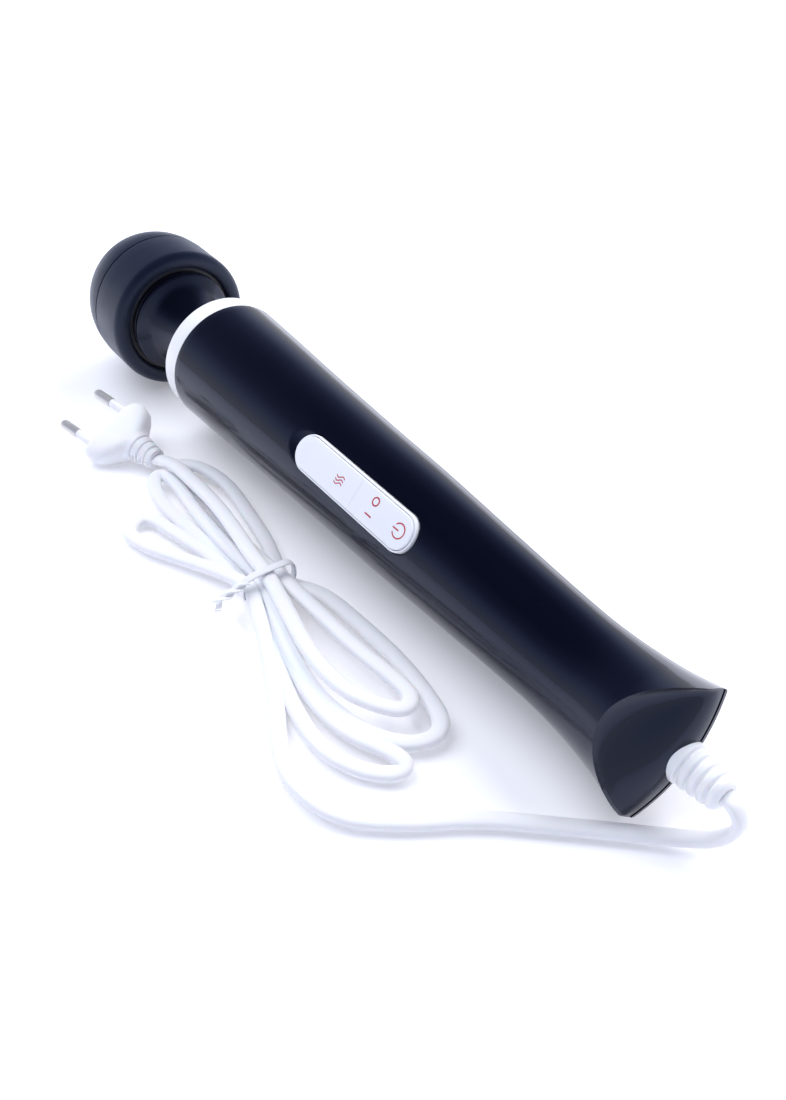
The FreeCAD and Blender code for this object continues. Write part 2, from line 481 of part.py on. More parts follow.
def make_shells():
    for side, label in ((1, "upper_shell"), (-1, "lower_shell")):
        height_cell = "r" if side > 0 else "q"
        outer = handle_outer(label + "_outer", height_cell)
        if side > 0:
            slot = panel_tool("slot", pill("slot_pill", "d.panel_long", "d.panel_wide", "d.slot_low", "40"))
            rest = doc.addObject("Part::Sphere", "finger_rest")
            rest.setExpression("Radius", "d.rest_rad")
            move(rest, ("d.panel_x - d.panel_long / 2 + d.rest_in", "0", "d.rest_z"))
            outer = cut("upper_rest", cut("upper_slot", outer, slot), rest)
        cavity = turned(label + "_cavity", "cavity_o", CAVITY_OUTLINE)
        wall = cut(label + "_wall", outer, cavity)
        inside = shell_bosses(side)
        for number, (start, radius) in enumerate((("d.front_rib_x", "d.rib_rad"), ("d.rear_rib_x", "d.rear_rib_rad"))):
            rib = rod("%s_rib_%d" % (label, number), radius, "d.rib_long", (start, "0", "0"))
            hole = rod("%s_rib_hole_%d" % (label, number), "d.damper_rad", "d.rib_long", (start, "0", "0"))
            inside.append(cut("%s_rib_cut_%d" % (label, number), rib, hole))
        tools = [rod(label + "_gland", "d.gland_rad", "d.half_wide", ("d.gland_seat_x", "0", "0")),
                 rod(label + "_cord_way", "d.cord_rad + 0.3", "d.half_wide", ("d.entry_x - 2", "0", "0"))]
        if side > 0:
            spots = ("d.board_hole_x0", "d.board_hole_x1")
            posts = [rod("board_post_%d" % number, "d.board_boss_rad", "-d.switch_low + 2",
                         (spot, "0", "d.switch_low"), Z_AXIS) for number, spot in enumerate(spots)]
            inside.append(panel_tool("board_posts", fuse("board_post_pair", posts)))
            holes = [rod("board_post_bore_%d" % number, "d.board_screw_rad", "d.board_screw_top - d.board_low",
                         (spot, "0", "d.board_low"), Z_AXIS) for number, spot in enumerate(spots)]
            tools.append(panel_tool("board_post_holes", fuse("board_post_bores", holes)))
            tools.append(box("entry_pocket", ("d.entry_end - d.entry_x", "2 * d.entry_half", "d.entry_top"),
                             ("d.entry_x", "-d.entry_half", "0")))
        else:
            for number, spot in enumerate(("d.power_hole_x0", "d.power_hole_x1")):
                inside.append(rod("power_post_%d" % number, "d.board_boss_rad", "d.half_wide + d.power_low",
                                  (spot, "0", "-d.half_wide"), Z_AXIS))
                tools.append(rod("power_post_hole_%d" % number, "d.board_screw_rad", "4",
                                 (spot, "0", "d.power_low - 4"), Z_AXIS))
            for hand in ("", "-"):
                tools.append(rod("clamp_hole_%s" % ("a" if hand else "b"), "d.clamp_screw_rad", "-d.clamp_screw_low",
                                 ("d.clamp_x + d.clamp_long / 2", hand + "d.clamp_screw_y", "d.clamp_screw_low"),
                                 Z_AXIS))
        for number in range(len(SHELL_SCREWS)):
            for hand in ("", "-"):
                tag = "%s_%d%s" % (label, number, "a" if hand else "b")
                spot = ("d.screw_o%dp" % number, "%sd.screw_o%dq" % (hand, number))
                tools.append(rod(tag + "_bore", "d.shell_screw_rad", "d.shell_screw_top - d.shell_head_z",
                                 spot + ("d.shell_head_z",), Z_AXIS))
                if side < 0:
                    tools.append(rod(tag + "_sink", "d.shell_head_rad", "d.half_wide",
                                     spot + ("d.shell_head_z - d.half_wide",), Z_AXIS))
        kept_inside = common(label + "_inside", outer, fuse(label + "_inner", inside))
        whole = fuse(label + "_whole", [wall, kept_inside])
        half = box(label + "_half", ("600", "2 * d.half_wide", "d.half_wide"),
                   ("-300", "-d.half_wide", "0" if side > 0 else "-d.half_wide"))
        node(label, common(label + "_side", cut(label + "_cut", whole, *tools), half), WAND)
        # the lofted faces stay split where the steps met, because merging them spoils the solid
        for item in doc.Objects:
            if item.Name.startswith(("upper_", "lower_")) and hasattr(item, "Refine"):
                item.Refine = False

    screws = []
    for number in range(len(SHELL_SCREWS)):
        for hand in ("", "-"):
            tag = "shell_screw_%d%s" % (number, "a" if hand else "b")
            spot = ("d.screw_o%dp" % number, "%sd.screw_o%dq" % (hand, number))
            shank = rod(tag + "_shank", "d.shell_screw_rad", "d.shell_screw_top - d.shell_head_z",
                        spot + ("d.shell_head_z",), Z_AXIS)
            top = rod(tag + "_top", "d.shell_head_rad", "d.shell_head_tall",
                      spot + ("d.shell_head_z - d.shell_head_tall",), Z_AXIS)
            screws.append(fuse(tag, [shank, top]))
    node("shell_screws", group("shell_screw_set", screws), WAND)
    node("collar_ring", turned("collar_body", "collar_o", COLLAR_OUTLINE), WAND)


# ---------------------------------------------------------------- motor


def make_motor():
    can = rod("can_solid", "d.can_rad", "d.can_long", ("d.can_x", "0", "0"))
    hollow = rod("can_hollow", "d.can_rad - d.can_wall", "d.can_long", ("d.can_x + d.can_wall", "0", "0"))
    hole = rod("can_hole", "d.hub_rad + d.run_gap", "10", ("d.can_x - 5", "0", "0"))
    taps = [rod("can_tap_%s" % ("a" if hand else "b"), "d.mount_screw_rad", "d.mount_screw_long",
                ("d.can_x - d.mount_thick", hand + "d.mount_screw_y", "0")) for hand in ("", "-")]
    node("motor_can", cut("can_cut", can, hollow, hole, *taps), WAND)

    cap = rod("end_cap_solid", "d.can_rad - d.can_wall", "d.end_cap_thick",
              ("d.can_x + d.can_long - d.end_cap_thick", "0", "0"))
    hole = rod("end_cap_hole", "d.hub_rad + d.run_gap", "12", ("d.can_x + d.can_long - 6", "0", "0"))
    node("motor_end_cap", cut("end_cap_cut", cap, hole), WAND)

    core = rod("rotor_core", "d.core_rad", "d.core_long", ("d.core_x", "0", "0"))
    shaft = rod("rotor_shaft", "d.hub_rad", "d.motor_shaft_end - d.motor_shaft_x", ("d.motor_shaft_x", "0", "0"))
    node("motor_rotor", fuse("rotor_solid", [core, shaft]), WAND)

    magnets = []
    for number in range(2):
        outer = rod("magnet_outer_%d" % number, "d.can_rad - d.can_wall", "d.magnet_long", ("d.magnet_x", "0", "0"))
        inner = rod("magnet_inner_%d" % number, "d.magnet_in", "d.magnet_long", ("d.magnet_x", "0", "0"))
        keep = box("magnet_keep_%d" % number, ("d.magnet_long", "20", "20"),
                   ("d.magnet_x", "-10", "4" if number else "-24"))
        magnets.append(common("magnet_%d" % number, cut("magnet_ring_%d" % number, outer, inner), keep))
    node("motor_magnets", group("magnet_set", magnets), WAND)

    disc = rod("mount_disc", "d.mount_rad", "d.mount_thick", ("d.can_x - d.mount_thick", "0", "0"))
    hole = rod("mount_hole_rod", "d.mount_hole", "10", ("d.can_x - 5", "0", "0"))
    ways = [rod("mount_way_%s" % ("a" if hand else "b"), "d.mount_screw_rad", "10",
                ("d.can_x - 5", hand + "d.mount_screw_y", "0")) for hand in ("", "-")]
    node("motor_mount", cut("mount_cut", disc, hole, *ways), WAND)
    screws = []
    for hand in ("", "-"):
        tag = "mount_screw_%s" % ("a" if hand else "b")
        shank = rod(tag + "_shank", "d.mount_screw_rad", "d.mount_screw_long",
                    ("d.can_x - d.mount_thick", hand + "d.mount_screw_y", "0"))
        top = rod(tag + "_top", "d.mount_head_rad", "d.mount_head_tall",
                  ("d.can_x - d.mount_thick - d.mount_head_tall", hand + "d.mount_screw_y", "0"))
        screws.append(fuse(tag, [shank, top]))
    node("motor_screws", group("mount_screw_set", screws), WAND)

    dampers = []
    for number, start in enumerate(("d.front_rib_x", "d.rear_rib_x")):
        ring = rod("damper_ring_%d" % number, "d.damper_rad", "d.rib_long", (start, "0", "0"))
        hole = rod("damper_hole_%d" % number, "d.can_rad", "d.rib_long", (start, "0", "0"))
        dampers.append(cut("damper_%d" % number, ring, hole))
    node("motor_dampers", group("damper_set", dampers), WAND)


# ---------------------------------------------------------------- key panel


def crowned(name, item):
    crown = rod(name + "_crown", "d.crown_rad", "200", ("-100", "0", "-d.crown_rad"))
    return common(name + "_top", item, crown)


def make_panel():
    rim = pill("rim_outer", "d.panel_long", "d.panel_wide", "d.frame_low", "d.frame_top - d.frame_low")
    opening = pill("rim_inner", "d.panel_long - 2 * d.panel_rim", "d.panel_wide - 2 * d.panel_rim",
                   "d.frame_low", "20")
    node("panel_frame", cut("frame_cut", crowned("frame", rim), opening), PANEL)

    for name, start, long_side in (("mode_button", "-60", "60 + d.key_split - d.key_gap / 2"),
                                   ("power_button", "d.key_split + d.key_gap / 2", "60")):
        cap = pill(name + "_pill", "d.panel_long - 2 * d.panel_rim - 2 * d.key_gap",
                   "d.panel_wide - 2 * d.panel_rim - 2 * d.key_gap", "d.key_low", "-d.key_low")
        part_of = box(name + "_reach", (long_side, "40", "20"), (start, "-20", "-10"))
        node(name, common(name + "_cut", crowned(name, cap), part_of), PANEL)

    node("keypad_mat", pill("mat_pill", "d.mat_long", "d.mat_wide", "d.mat_low", "d.key_low - d.mat_low"), PANEL)

    for name, spot in (("mode", "d.mode_key_x"), ("power", "d.power_key_x")):
        block = box(name + "_switch_block", ("d.switch_wide", "d.switch_wide", "d.switch_top - d.switch_low"),
                    (spot + " - d.switch_wide / 2", "-d.switch_wide / 2", "d.switch_low"))
        pit = rod(name + "_switch_pit", "d.plunger_rad + d.run_gap", "5", (spot, "0", "d.switch_pit"), Z_AXIS)
        node(name + "_switch", cut(name + "_switch_cut", block, pit), PANEL)
        stem = rod(name + "_stem", "d.plunger_rad", "d.mat_low - d.plunger_low", (spot, "0", "d.plunger_low"), Z_AXIS)
        node(name + "_plunger", group(name + "_plunger_solid", [stem]), PANEL)

    board = box("control_board_blank", ("d.board_x1 - d.board_x0", "d.board_wide", "d.switch_low - d.board_low"),
                ("d.board_x0", "-d.board_wide / 2", "d.board_low"))
    holes = [rod("board_hole_%d" % number, "d.board_screw_rad", "10", (spot, "0", "d.board_low - 5"), Z_AXIS)
             for number, spot in enumerate(("d.board_hole_x0", "d.board_hole_x1"))]
    node("control_board", cut("control_board_cut", board, *holes), PANEL)

    screws = []
    for number, spot in enumerate(("d.board_hole_x0", "d.board_hole_x1")):
        shank = rod("board_shank_%d" % number, "d.board_screw_rad", "d.board_screw_top - d.board_low",
                    (spot, "0", "d.board_low"), Z_AXIS)
        top = rod("board_top_%d" % number, "d.board_head_rad", "d.board_head_tall",
                  (spot, "0", "d.board_low - d.board_head_tall"), Z_AXIS)
        screws.append(fuse("board_screw_%d" % number, [shank, top]))
    node("control_board_screws", group("board_screw_set", screws), PANEL)


# ---------------------------------------------------------------- mains electronics


def make_power_board():
    board = box("power_board_blank", ("d.power_x1 - d.power_x0", "d.power_wide", "d.power_top - d.power_low"),
                ("d.power_x0", "-d.power_wide / 2", "d.power_low"))
    spots = ("d.power_hole_x0", "d.power_hole_x1")
    holes = [rod("power_hole_%d" % number, "d.board_screw_rad", "10", (spot, "0", "d.power_low - 5"), Z_AXIS)
             for number, spot in enumerate(spots)]
    node("power_board", cut("power_board_cut", board, *holes), WAND)
    screws = []
    for number, spot in enumerate(spots):
        shank = rod("power_shank_%d" % number, "d.board_screw_rad", "d.power_top - d.power_low + 4",
                    (spot, "0", "d.power_low - 4"), Z_AXIS)
        top = rod("power_screw_top_%d" % number, "d.board_head_rad", "d.board_head_tall",
                  (spot, "0", "d.power_top"), Z_AXIS)
        screws.append(fuse("power_screw_%d" % number, [shank, top]))
    node("power_board_screws", group("power_screw_set", screws), WAND)

    parts = {
        "choke": box("choke_block", ("d.choke_long", "d.choke_wide", "d.choke_tall"),
                     ("d.choke_x - d.choke_long / 2", "-d.choke_wide / 2", "d.power_top")),
        "capacitor": rod("capacitor_can", "d.cap_body_rad", "d.cap_body_long",
                         ("d.cap_x - d.cap_body_long / 2", "0", "d.power_top + d.cap_body_rad")),
        "fuse": rod("fuse_tube", "d.fuse_rad", "d.fuse_long",
                    ("d.fuse_x - d.fuse_long / 2", "-6", "d.power_top + d.fuse_rad")),
        "rectifier": box("rectifier_block", ("d.rect_long", "d.rect_wide", "d.rect_tall"),
                         ("d.rect_x - d.rect_long / 2", "-d.rect_wide / 2", "d.power_top")),
    }
    for name, item in parts.items():
        node(name, group(name + "_on_board", [item]), WAND)


# ---------------------------------------------------------------- cord entry


def make_cord_entry():
    gland = turned("gland_body", "gland_o", GLAND_OUTLINE)
    bore = rod("gland_bore", "d.cord_rad", "60", ("d.gland_seat_x - 5", "0", "0"))
    node("strain_relief", cut("gland_cut", gland, bore), WAND)

    bar = box("clamp_bar", ("d.clamp_long", "2 * d.clamp_half", "d.clamp_tall"),
              ("d.clamp_x", "-d.clamp_half", "0"))
    saddle = rod("clamp_saddle", "d.cord_rad", "40", ("d.clamp_x - 10", "0", "0"))
    ways = [rod("clamp_way_%s" % ("a" if hand else "b"), "d.clamp_screw_rad", "20",
                ("d.clamp_x + d.clamp_long / 2", hand + "d.clamp_screw_y", "-5"), Z_AXIS) for hand in ("", "-")]
    top = rod("clamp_top", "d.cord_rad + 2", "d.clamp_long", ("d.clamp_x", "0", "0"))
    below = box("clamp_below", ("60", "40", "20"), ("d.clamp_x - 20", "-20", "-20"))
    node("cord_clamp", cut("clamp_cut", fuse("clamp_solid", [bar, top]), saddle, below, *ways), WAND)
    screws = []
    for hand in ("", "-"):
        tag = "clamp_screw_%s" % ("a" if hand else "b")
        spot = ("d.clamp_x + d.clamp_long / 2", hand + "d.clamp_screw_y")
        shank = rod(tag + "_shank", "d.clamp_screw_rad", "d.clamp_tall - d.clamp_screw_low",
                    spot + ("d.clamp_screw_low",), Z_AXIS)
        top = rod(tag + "_top", "d.clamp_head_rad", "d.clamp_head_tall", spot + ("d.clamp_tall",), Z_AXIS)
        screws.append(fuse(tag, [shank, top]))
    node("clamp_screws", group("clamp_screw_set", screws), WAND)
    inner = rod("inner_cord_rod", "d.cord_rad", "d.gland_end - d.entry_x", ("d.entry_x", "0", "0"))
    node("inner_cord", group("inner_cord_set", [inner]), WAND)

    radius = cell("lead_rad")
    board_end = cell("power_x1") - 2
    top = cell("power_top") + radius
    for hand, tag in ((1, "live"), (-1, "neutral")):
        route = [(cell("entry_x") - 0.2, hand * 1.2, 0), (84, hand * 2, -1), (66, hand * 4, -4.5),
                 (board_end + 4, hand * 5.5, top), (board_end - 3, hand * 6, top)]
        swept("mains_lead_" + tag, route, radius, WAND)
    for hand, tag in ((1, "a"), (-1, "b")):
        route = [(cell("can_x") + cell("can_long") + 0.3, hand * 9, 0), (-58.5, hand * 9, -1), (-53, hand * 8.5, -4.5),
                 (cell("power_x0") + 2, hand * 8, top), (cell("power_x0") + 8, hand * 8, top)]
        swept("motor_lead_" + tag, route, radius, WAND)


# ---------------------------------------------------------------- cord, hank, tie and plug


def make_cord():
    radius = cell("cord_rad")
    swept("power_cord", GLAND_ROUTE, radius)
    swept("plug_lead", PLUG_ROUTE, radius)
    row = FreeCAD.Placement()
    loops = raised("hank_loops", "loop_o", LOOP_PLAN, "d.hank_loops_tall")
    returns = raised("hank_returns", "return_o", RETURN_PLAN, "d.hank_return_tall")
    waist = box("hank_waist", ("d.waist_long", "d.waist_wide", "d.waist_tall"), ("d.waist_x", "d.waist_y", "0"))
    node("cord_hank", fuse("hank_solid", [loops, returns, waist]), row)

    band = box("tie_outer", ("d.tie_wide", "d.waist_wide + 2 * d.tie_thick", "d.waist_tall + d.tie_thick"),
               ("d.tie_x", "d.waist_y - d.tie_thick", "0"))
    inside = box("tie_inner", ("d.tie_wide", "d.waist_wide", "d.waist_tall"), ("d.tie_x", "d.waist_y", "0"))
    node("cord_tie", cut("tie_cut", band, inside), row)


def make_plug():
    slab = raised("plug_slab", "plug_o", PLUG_PLAN, "d.plug_thick", "-d.plug_thick / 2")
    lens = rod("plug_lens", "d.plug_lens_rad", "60", ("-40", "0", "d.plug_thick / 2 - d.plug_lens_rad"))
    under = rod("plug_under", "d.plug_lens_rad", "60", ("-40", "0", "d.plug_lens_rad - d.plug_thick / 2"))
    shaped = common("plug_shaped", common("plug_half", slab, lens), under)
    relief = doc.addObject("Part::Cone", "plug_relief")
    relief.setExpression("Radius1", "d.relief_base")
    relief.setExpression("Radius2", "d.relief_end")
    relief.setExpression("Height", "d.relief_long")
    relief.Placement = FreeCAD.Placement(Vec(-cell("plug_deep"), 0, 0), FreeCAD.Rotation(Z_AXIS, -X_AXIS))
    seats = [rod("pin_seat_%s" % ("a" if hand else "b"), "d.sleeve_rad", "d.pin_root",
                 ("-d.pin_root", hand + "d.pin_half", "0")) for hand in ("", "-")]
    node("plug_body", cut("plug_cut", fuse("plug_solid", [shaped, relief]), *seats), PLUG)

    pins = []
    sleeves = []
    for hand in ("", "-"):
        tag = "a" if hand else "b"
        core = rod("pin_core_" + tag, "d.sleeve_rad - 0.5", "d.pin_root + d.sleeve_long",
                   ("-d.pin_root", hand + "d.pin_half", "0"))
        tip = rod("pin_tip_" + tag, "d.pin_rad", "d.pin_bare", ("d.sleeve_long", hand + "d.pin_half", "0"))
        pins.append(fuse("pin_" + tag, [core, tip]))
        coat = rod("sleeve_coat_" + tag, "d.sleeve_rad", "d.pin_root + d.sleeve_long",
                   ("-d.pin_root", hand + "d.pin_half", "0"))
        bore = rod("sleeve_bore_" + tag, "d.sleeve_rad - 0.5", "60", ("-30", hand + "d.pin_half", "0"))
        sleeves.append(cut("sleeve_" + tag, coat, bore))
    node("plug_pins", group("pin_set", pins), PLUG)
    node("pin_sleeves", group("sleeve_set", sleeves), PLUG)


make_head()
make_neck()
make_shells()
make_motor()
make_panel()
make_power_board()
make_cord_entry()
make_cord()
make_plug()
doc.recompute()

for item in doc.Objects:
    if "Invalid" in item.State or "Error" in item.State:
        raise SystemExit("bad object %s %s" % (item.Name, item.State))
for item in nodes:
    if item.Shape.isNull() or not item.Shape.isValid() or not item.Shape.Solids:
        raise SystemExit("bad shape " + item.Label)
    item.Shape.exportStep("parts/%s.step" % item.Label)
    print("%-22s %d solids %10.1f mm3  %s" % (item.Label, len(item.Shape.Solids), item.Shape.Volume,
                                             item.Shape.BoundBox))
print(len(nodes), "nodes")
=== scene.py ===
import math
import bmesh
import bpy
from mathutils import Matrix, Vector


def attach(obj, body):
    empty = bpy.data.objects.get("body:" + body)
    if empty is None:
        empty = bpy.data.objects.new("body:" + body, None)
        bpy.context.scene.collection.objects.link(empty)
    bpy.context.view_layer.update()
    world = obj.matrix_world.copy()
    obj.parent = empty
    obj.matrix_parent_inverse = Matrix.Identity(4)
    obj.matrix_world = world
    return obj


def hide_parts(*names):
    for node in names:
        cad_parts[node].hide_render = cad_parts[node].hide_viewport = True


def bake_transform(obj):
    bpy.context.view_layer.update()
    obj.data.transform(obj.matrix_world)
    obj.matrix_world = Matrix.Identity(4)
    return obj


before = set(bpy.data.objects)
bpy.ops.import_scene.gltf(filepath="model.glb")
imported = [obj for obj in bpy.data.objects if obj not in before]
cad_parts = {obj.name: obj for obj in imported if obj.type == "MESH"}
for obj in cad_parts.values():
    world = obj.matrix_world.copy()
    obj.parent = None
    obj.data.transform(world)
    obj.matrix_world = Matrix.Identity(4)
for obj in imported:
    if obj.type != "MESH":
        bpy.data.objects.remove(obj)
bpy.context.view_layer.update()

# A corded handheld wand massager on a pale table. The row frame is in metres; pieces are drawn in millimetres
# in the frame of the wand, its key panel or its plug, and put into the row frame by that frame's matrix.

MM = 0.001

# ---------------------------------------------------------------- frames and driving sizes


def turn(axis, degrees):
    return Matrix.Rotation(math.radians(degrees), 4, axis)


def shift(x, y, z):
    return Matrix.Translation(Vector((x, y, z)))


ROW = Matrix.Identity(4)
WAND = shift(34.42, 0, 24.5) @ turn("Y", 1.733) @ turn("X", 51.12)
PANEL_X = -6.4
PANEL_LOCAL = shift(PANEL_X, 0, 21.6) @ turn("Y", 1.7)
PANEL = WAND @ PANEL_LOCAL
PLUG_AT = Vector((-94.6, -48.6, 9.1))
PLUG_AIM = Vector((-0.955, -0.262, 0.14)).normalized()
PLUG_ROLL = -20

# handle cross-sections: x, half width across, half height of the upper half
HANDLE = [(-117, 24.6, 24.6), (-92, 23.6, 23.6), (-63, 22.3, 22.3), (-27, 21, 21), (2.5, 20.2, 20.2),
          (42, 18.4, 18.4), (78, 17, 17), (93, 17.3, 18), (108.5, 18.8, 22), (117, 20.4, 25.4),
          (126, 22.6, 30)]
END_PLAN_RAD = 70.3
END_X = 125.5
SCOOP_DEEP = 16.5
SCOOP_HALF = 20.8
END_STRIP = 1.4
UNDER_TALL = 19
PARTING_GAP = 0.07
END_LEDGE = 0.25
FLARE_X = 90

PANEL_LONG = 62.5
PANEL_WIDE = 13.5
PANEL_RIM = 0.7
SLOT_GAP = 0.4
SLOT_DEEP = Vector((0, 0, 2.6))
REST_RAD = 25
REST_X = PANEL_X - PANEL_LONG / 2 + 5
REST_Z = 44.3
REST_SOFTNESS = 0.2
KEY_SPLIT = 2.3
CROWN_RAD = 45

CORD_WIDE = 5.4
CORD_THICK = 3.4
SHELL_SCREWS = [(-53, 15), (64, 11)]
SCREW_WELL_RAD = 2.9
SCREW_SEAT_Z = -10

# The cord's route along the table, row millimetres, from inside the gland to inside the plug's relief.
CORD_ROUTE = [
    # gland, over the edge and along the table
    (168, 0, 20.46), (173.4, 0, 20.3), (177.1, 0, 20.18), (179.9, 0.4, 14.8), (176.8, -1.9, 8), (170.4, -5.6, 4),
    (161, -14.7, 3), (146.7, -30.2, 3), (132.2, -45.9, 3), (121.2, -64.5, 3), (109, -78, 3), (90.8, -81, 3),
    (80, -77, 2.7), (70, -72, 2.7), (59, -66, 2.7), (47, -61, 3), (35, -56, 3.8), (23, -52, 4.6),
    # through the tie and round the outer head-side loop
    (17, -49.5, 5.2), (6, -52, 4.5), (-11, -59, 3), (-25, -67, 2.7), (-39, -70, 2.7), (-44, -59, 2.7),
    (-24, -55, 3), (-7, -51, 3), (17, -49.5, 1.8),
    # lowest cord-side loop
    (26, -51, 2.5), (48, -59, 2.5), (67, -65, 2.5), (86, -68, 2.5), (100, -63, 2.7), (108, -55, 3), (106, -51, 4),
    (99, -53, 4), (87, -59, 4), (70, -60, 4), (50, -55, 4), (29, -49, 3.5), (17, -44, 1.8),
    # middle head-side loop
    (-1, -46, 2.5), (-16, -49, 2.7), (-31, -51, 3), (-45, -52, 4), (-57, -50, 4.5), (-63, -44, 4.5),
    (-53, -42, 4.5), (-36, -44, 4.5), (-20, -45, 4.5), (-1, -45, 5), (17, -44, 5.2),
    # middle cord-side loop
    (43, -53, 5), (65, -58, 4), (85, -56, 3.5), (99, -49, 3.5), (104, -40, 4), (101, -34, 5), (91, -32, 6),
    (74, -30, 6), (52, -30, 5), (30, -31, 4), (17, -38.5, 1.8),
    # inner head-side loop
    (-1, -32, 3), (-22, -29, 4), (-40, -27, 5), (-54, -29, 5), (-62, -33, 4.5), (-66, -36, 3), (-57, -37, 2.7),
    (-38, -37, 2.7), (-8, -40, 4), (17, -38.5, 5.2),
    # upper cord-side loop
    (25, -39, 6), (42, -39, 7), (64, -39, 8), (81, -37, 8), (90, -37, 8), (93, -42, 8), (87, -47, 8),
    (76, -52, 8), (57, -52, 8), (35, -47, 8), (17, -43.5, 8.6),
    # lead to the plug
    (6, -43, 9), (-8, -41, 9.5), (-26, -39, 9.5), (-46, -39, 9), (-61, -39, 8), (-69.8, -41.8, 5.5),
    (-73, -42.7, 5.95)]

# ---------------------------------------------------------------- materials


def add_node(material, kind, **values):
    made = material.node_tree.nodes.new(kind)
    for key, value in values.items():
        setattr(made, key, value)
    return made


def link(material, source, target):
    material.node_tree.links.new(source, target)


def noise(material, scale, detail, stretch=(1, 1, 1)):
    """A noise over the piece's own coordinates, stretched along its axes."""
    place = add_node(material, "ShaderNodeTexCoord")
    mapping = add_node(material, "ShaderNodeMapping")
    mapping.inputs["Scale"].default_value = stretch
    pattern = add_node(material, "ShaderNodeTexNoise")
    pattern.inputs["Scale"].default_value = scale
    pattern.inputs["Detail"].default_value = detail
    link(material, place.outputs["Object"], mapping.inputs["Vector"])
    link(material, mapping.outputs["Vector"], pattern.inputs["Vector"])
    return pattern.outputs["Fac"]


def spread(material, value, low, high):
    """A noise value spread between two numbers."""
    ramp = add_node(material, "ShaderNodeMapRange")
    ramp.inputs["From Min"].default_value = 0.3
    ramp.inputs["From Max"].default_value = 0.7
    ramp.inputs["To Min"].default_value = low
    ramp.inputs["To Max"].default_value = high
    link(material, value, ramp.inputs["Value"])
    return ramp.outputs["Result"]


def surface(name, colour, roughness, grain=1500, bump=0.05, scratch=0.0, **inputs):
    """A principled material: a fine bump, a roughness that varies, and faint long scratches."""
    material = bpy.data.materials.new(name)
    material.use_nodes = True
    shader = material.node_tree.nodes["Principled BSDF"]
    shader.inputs["Base Color"].default_value = (*colour, 1)
    for key, value in inputs.items():
        shader.inputs[key.replace("_", " ")].default_value = value
    wear = noise(material, 60, 4)
    link(material, spread(material, wear, roughness * 0.85, roughness * 1.2), shader.inputs["Roughness"])
    fine = noise(material, grain, 3)
    height = fine
    if scratch:
        lines = noise(material, 900, 2, (0.02, 1, 1))
        both = add_node(material, "ShaderNodeMath", operation="MULTIPLY_ADD")
        both.inputs[1].default_value = scratch
        link(material, lines, both.inputs[0])
        link(material, fine, both.inputs[2])
        height = both.outputs["Value"]
    relief = add_node(material, "ShaderNodeBump")
    relief.inputs["Strength"].default_value = bump
    relief.inputs["Distance"].default_value = 0.0002
    link(material, height, relief.inputs["Height"])
    link(material, relief.outputs["Normal"], shader.inputs["Normal"])
    return material


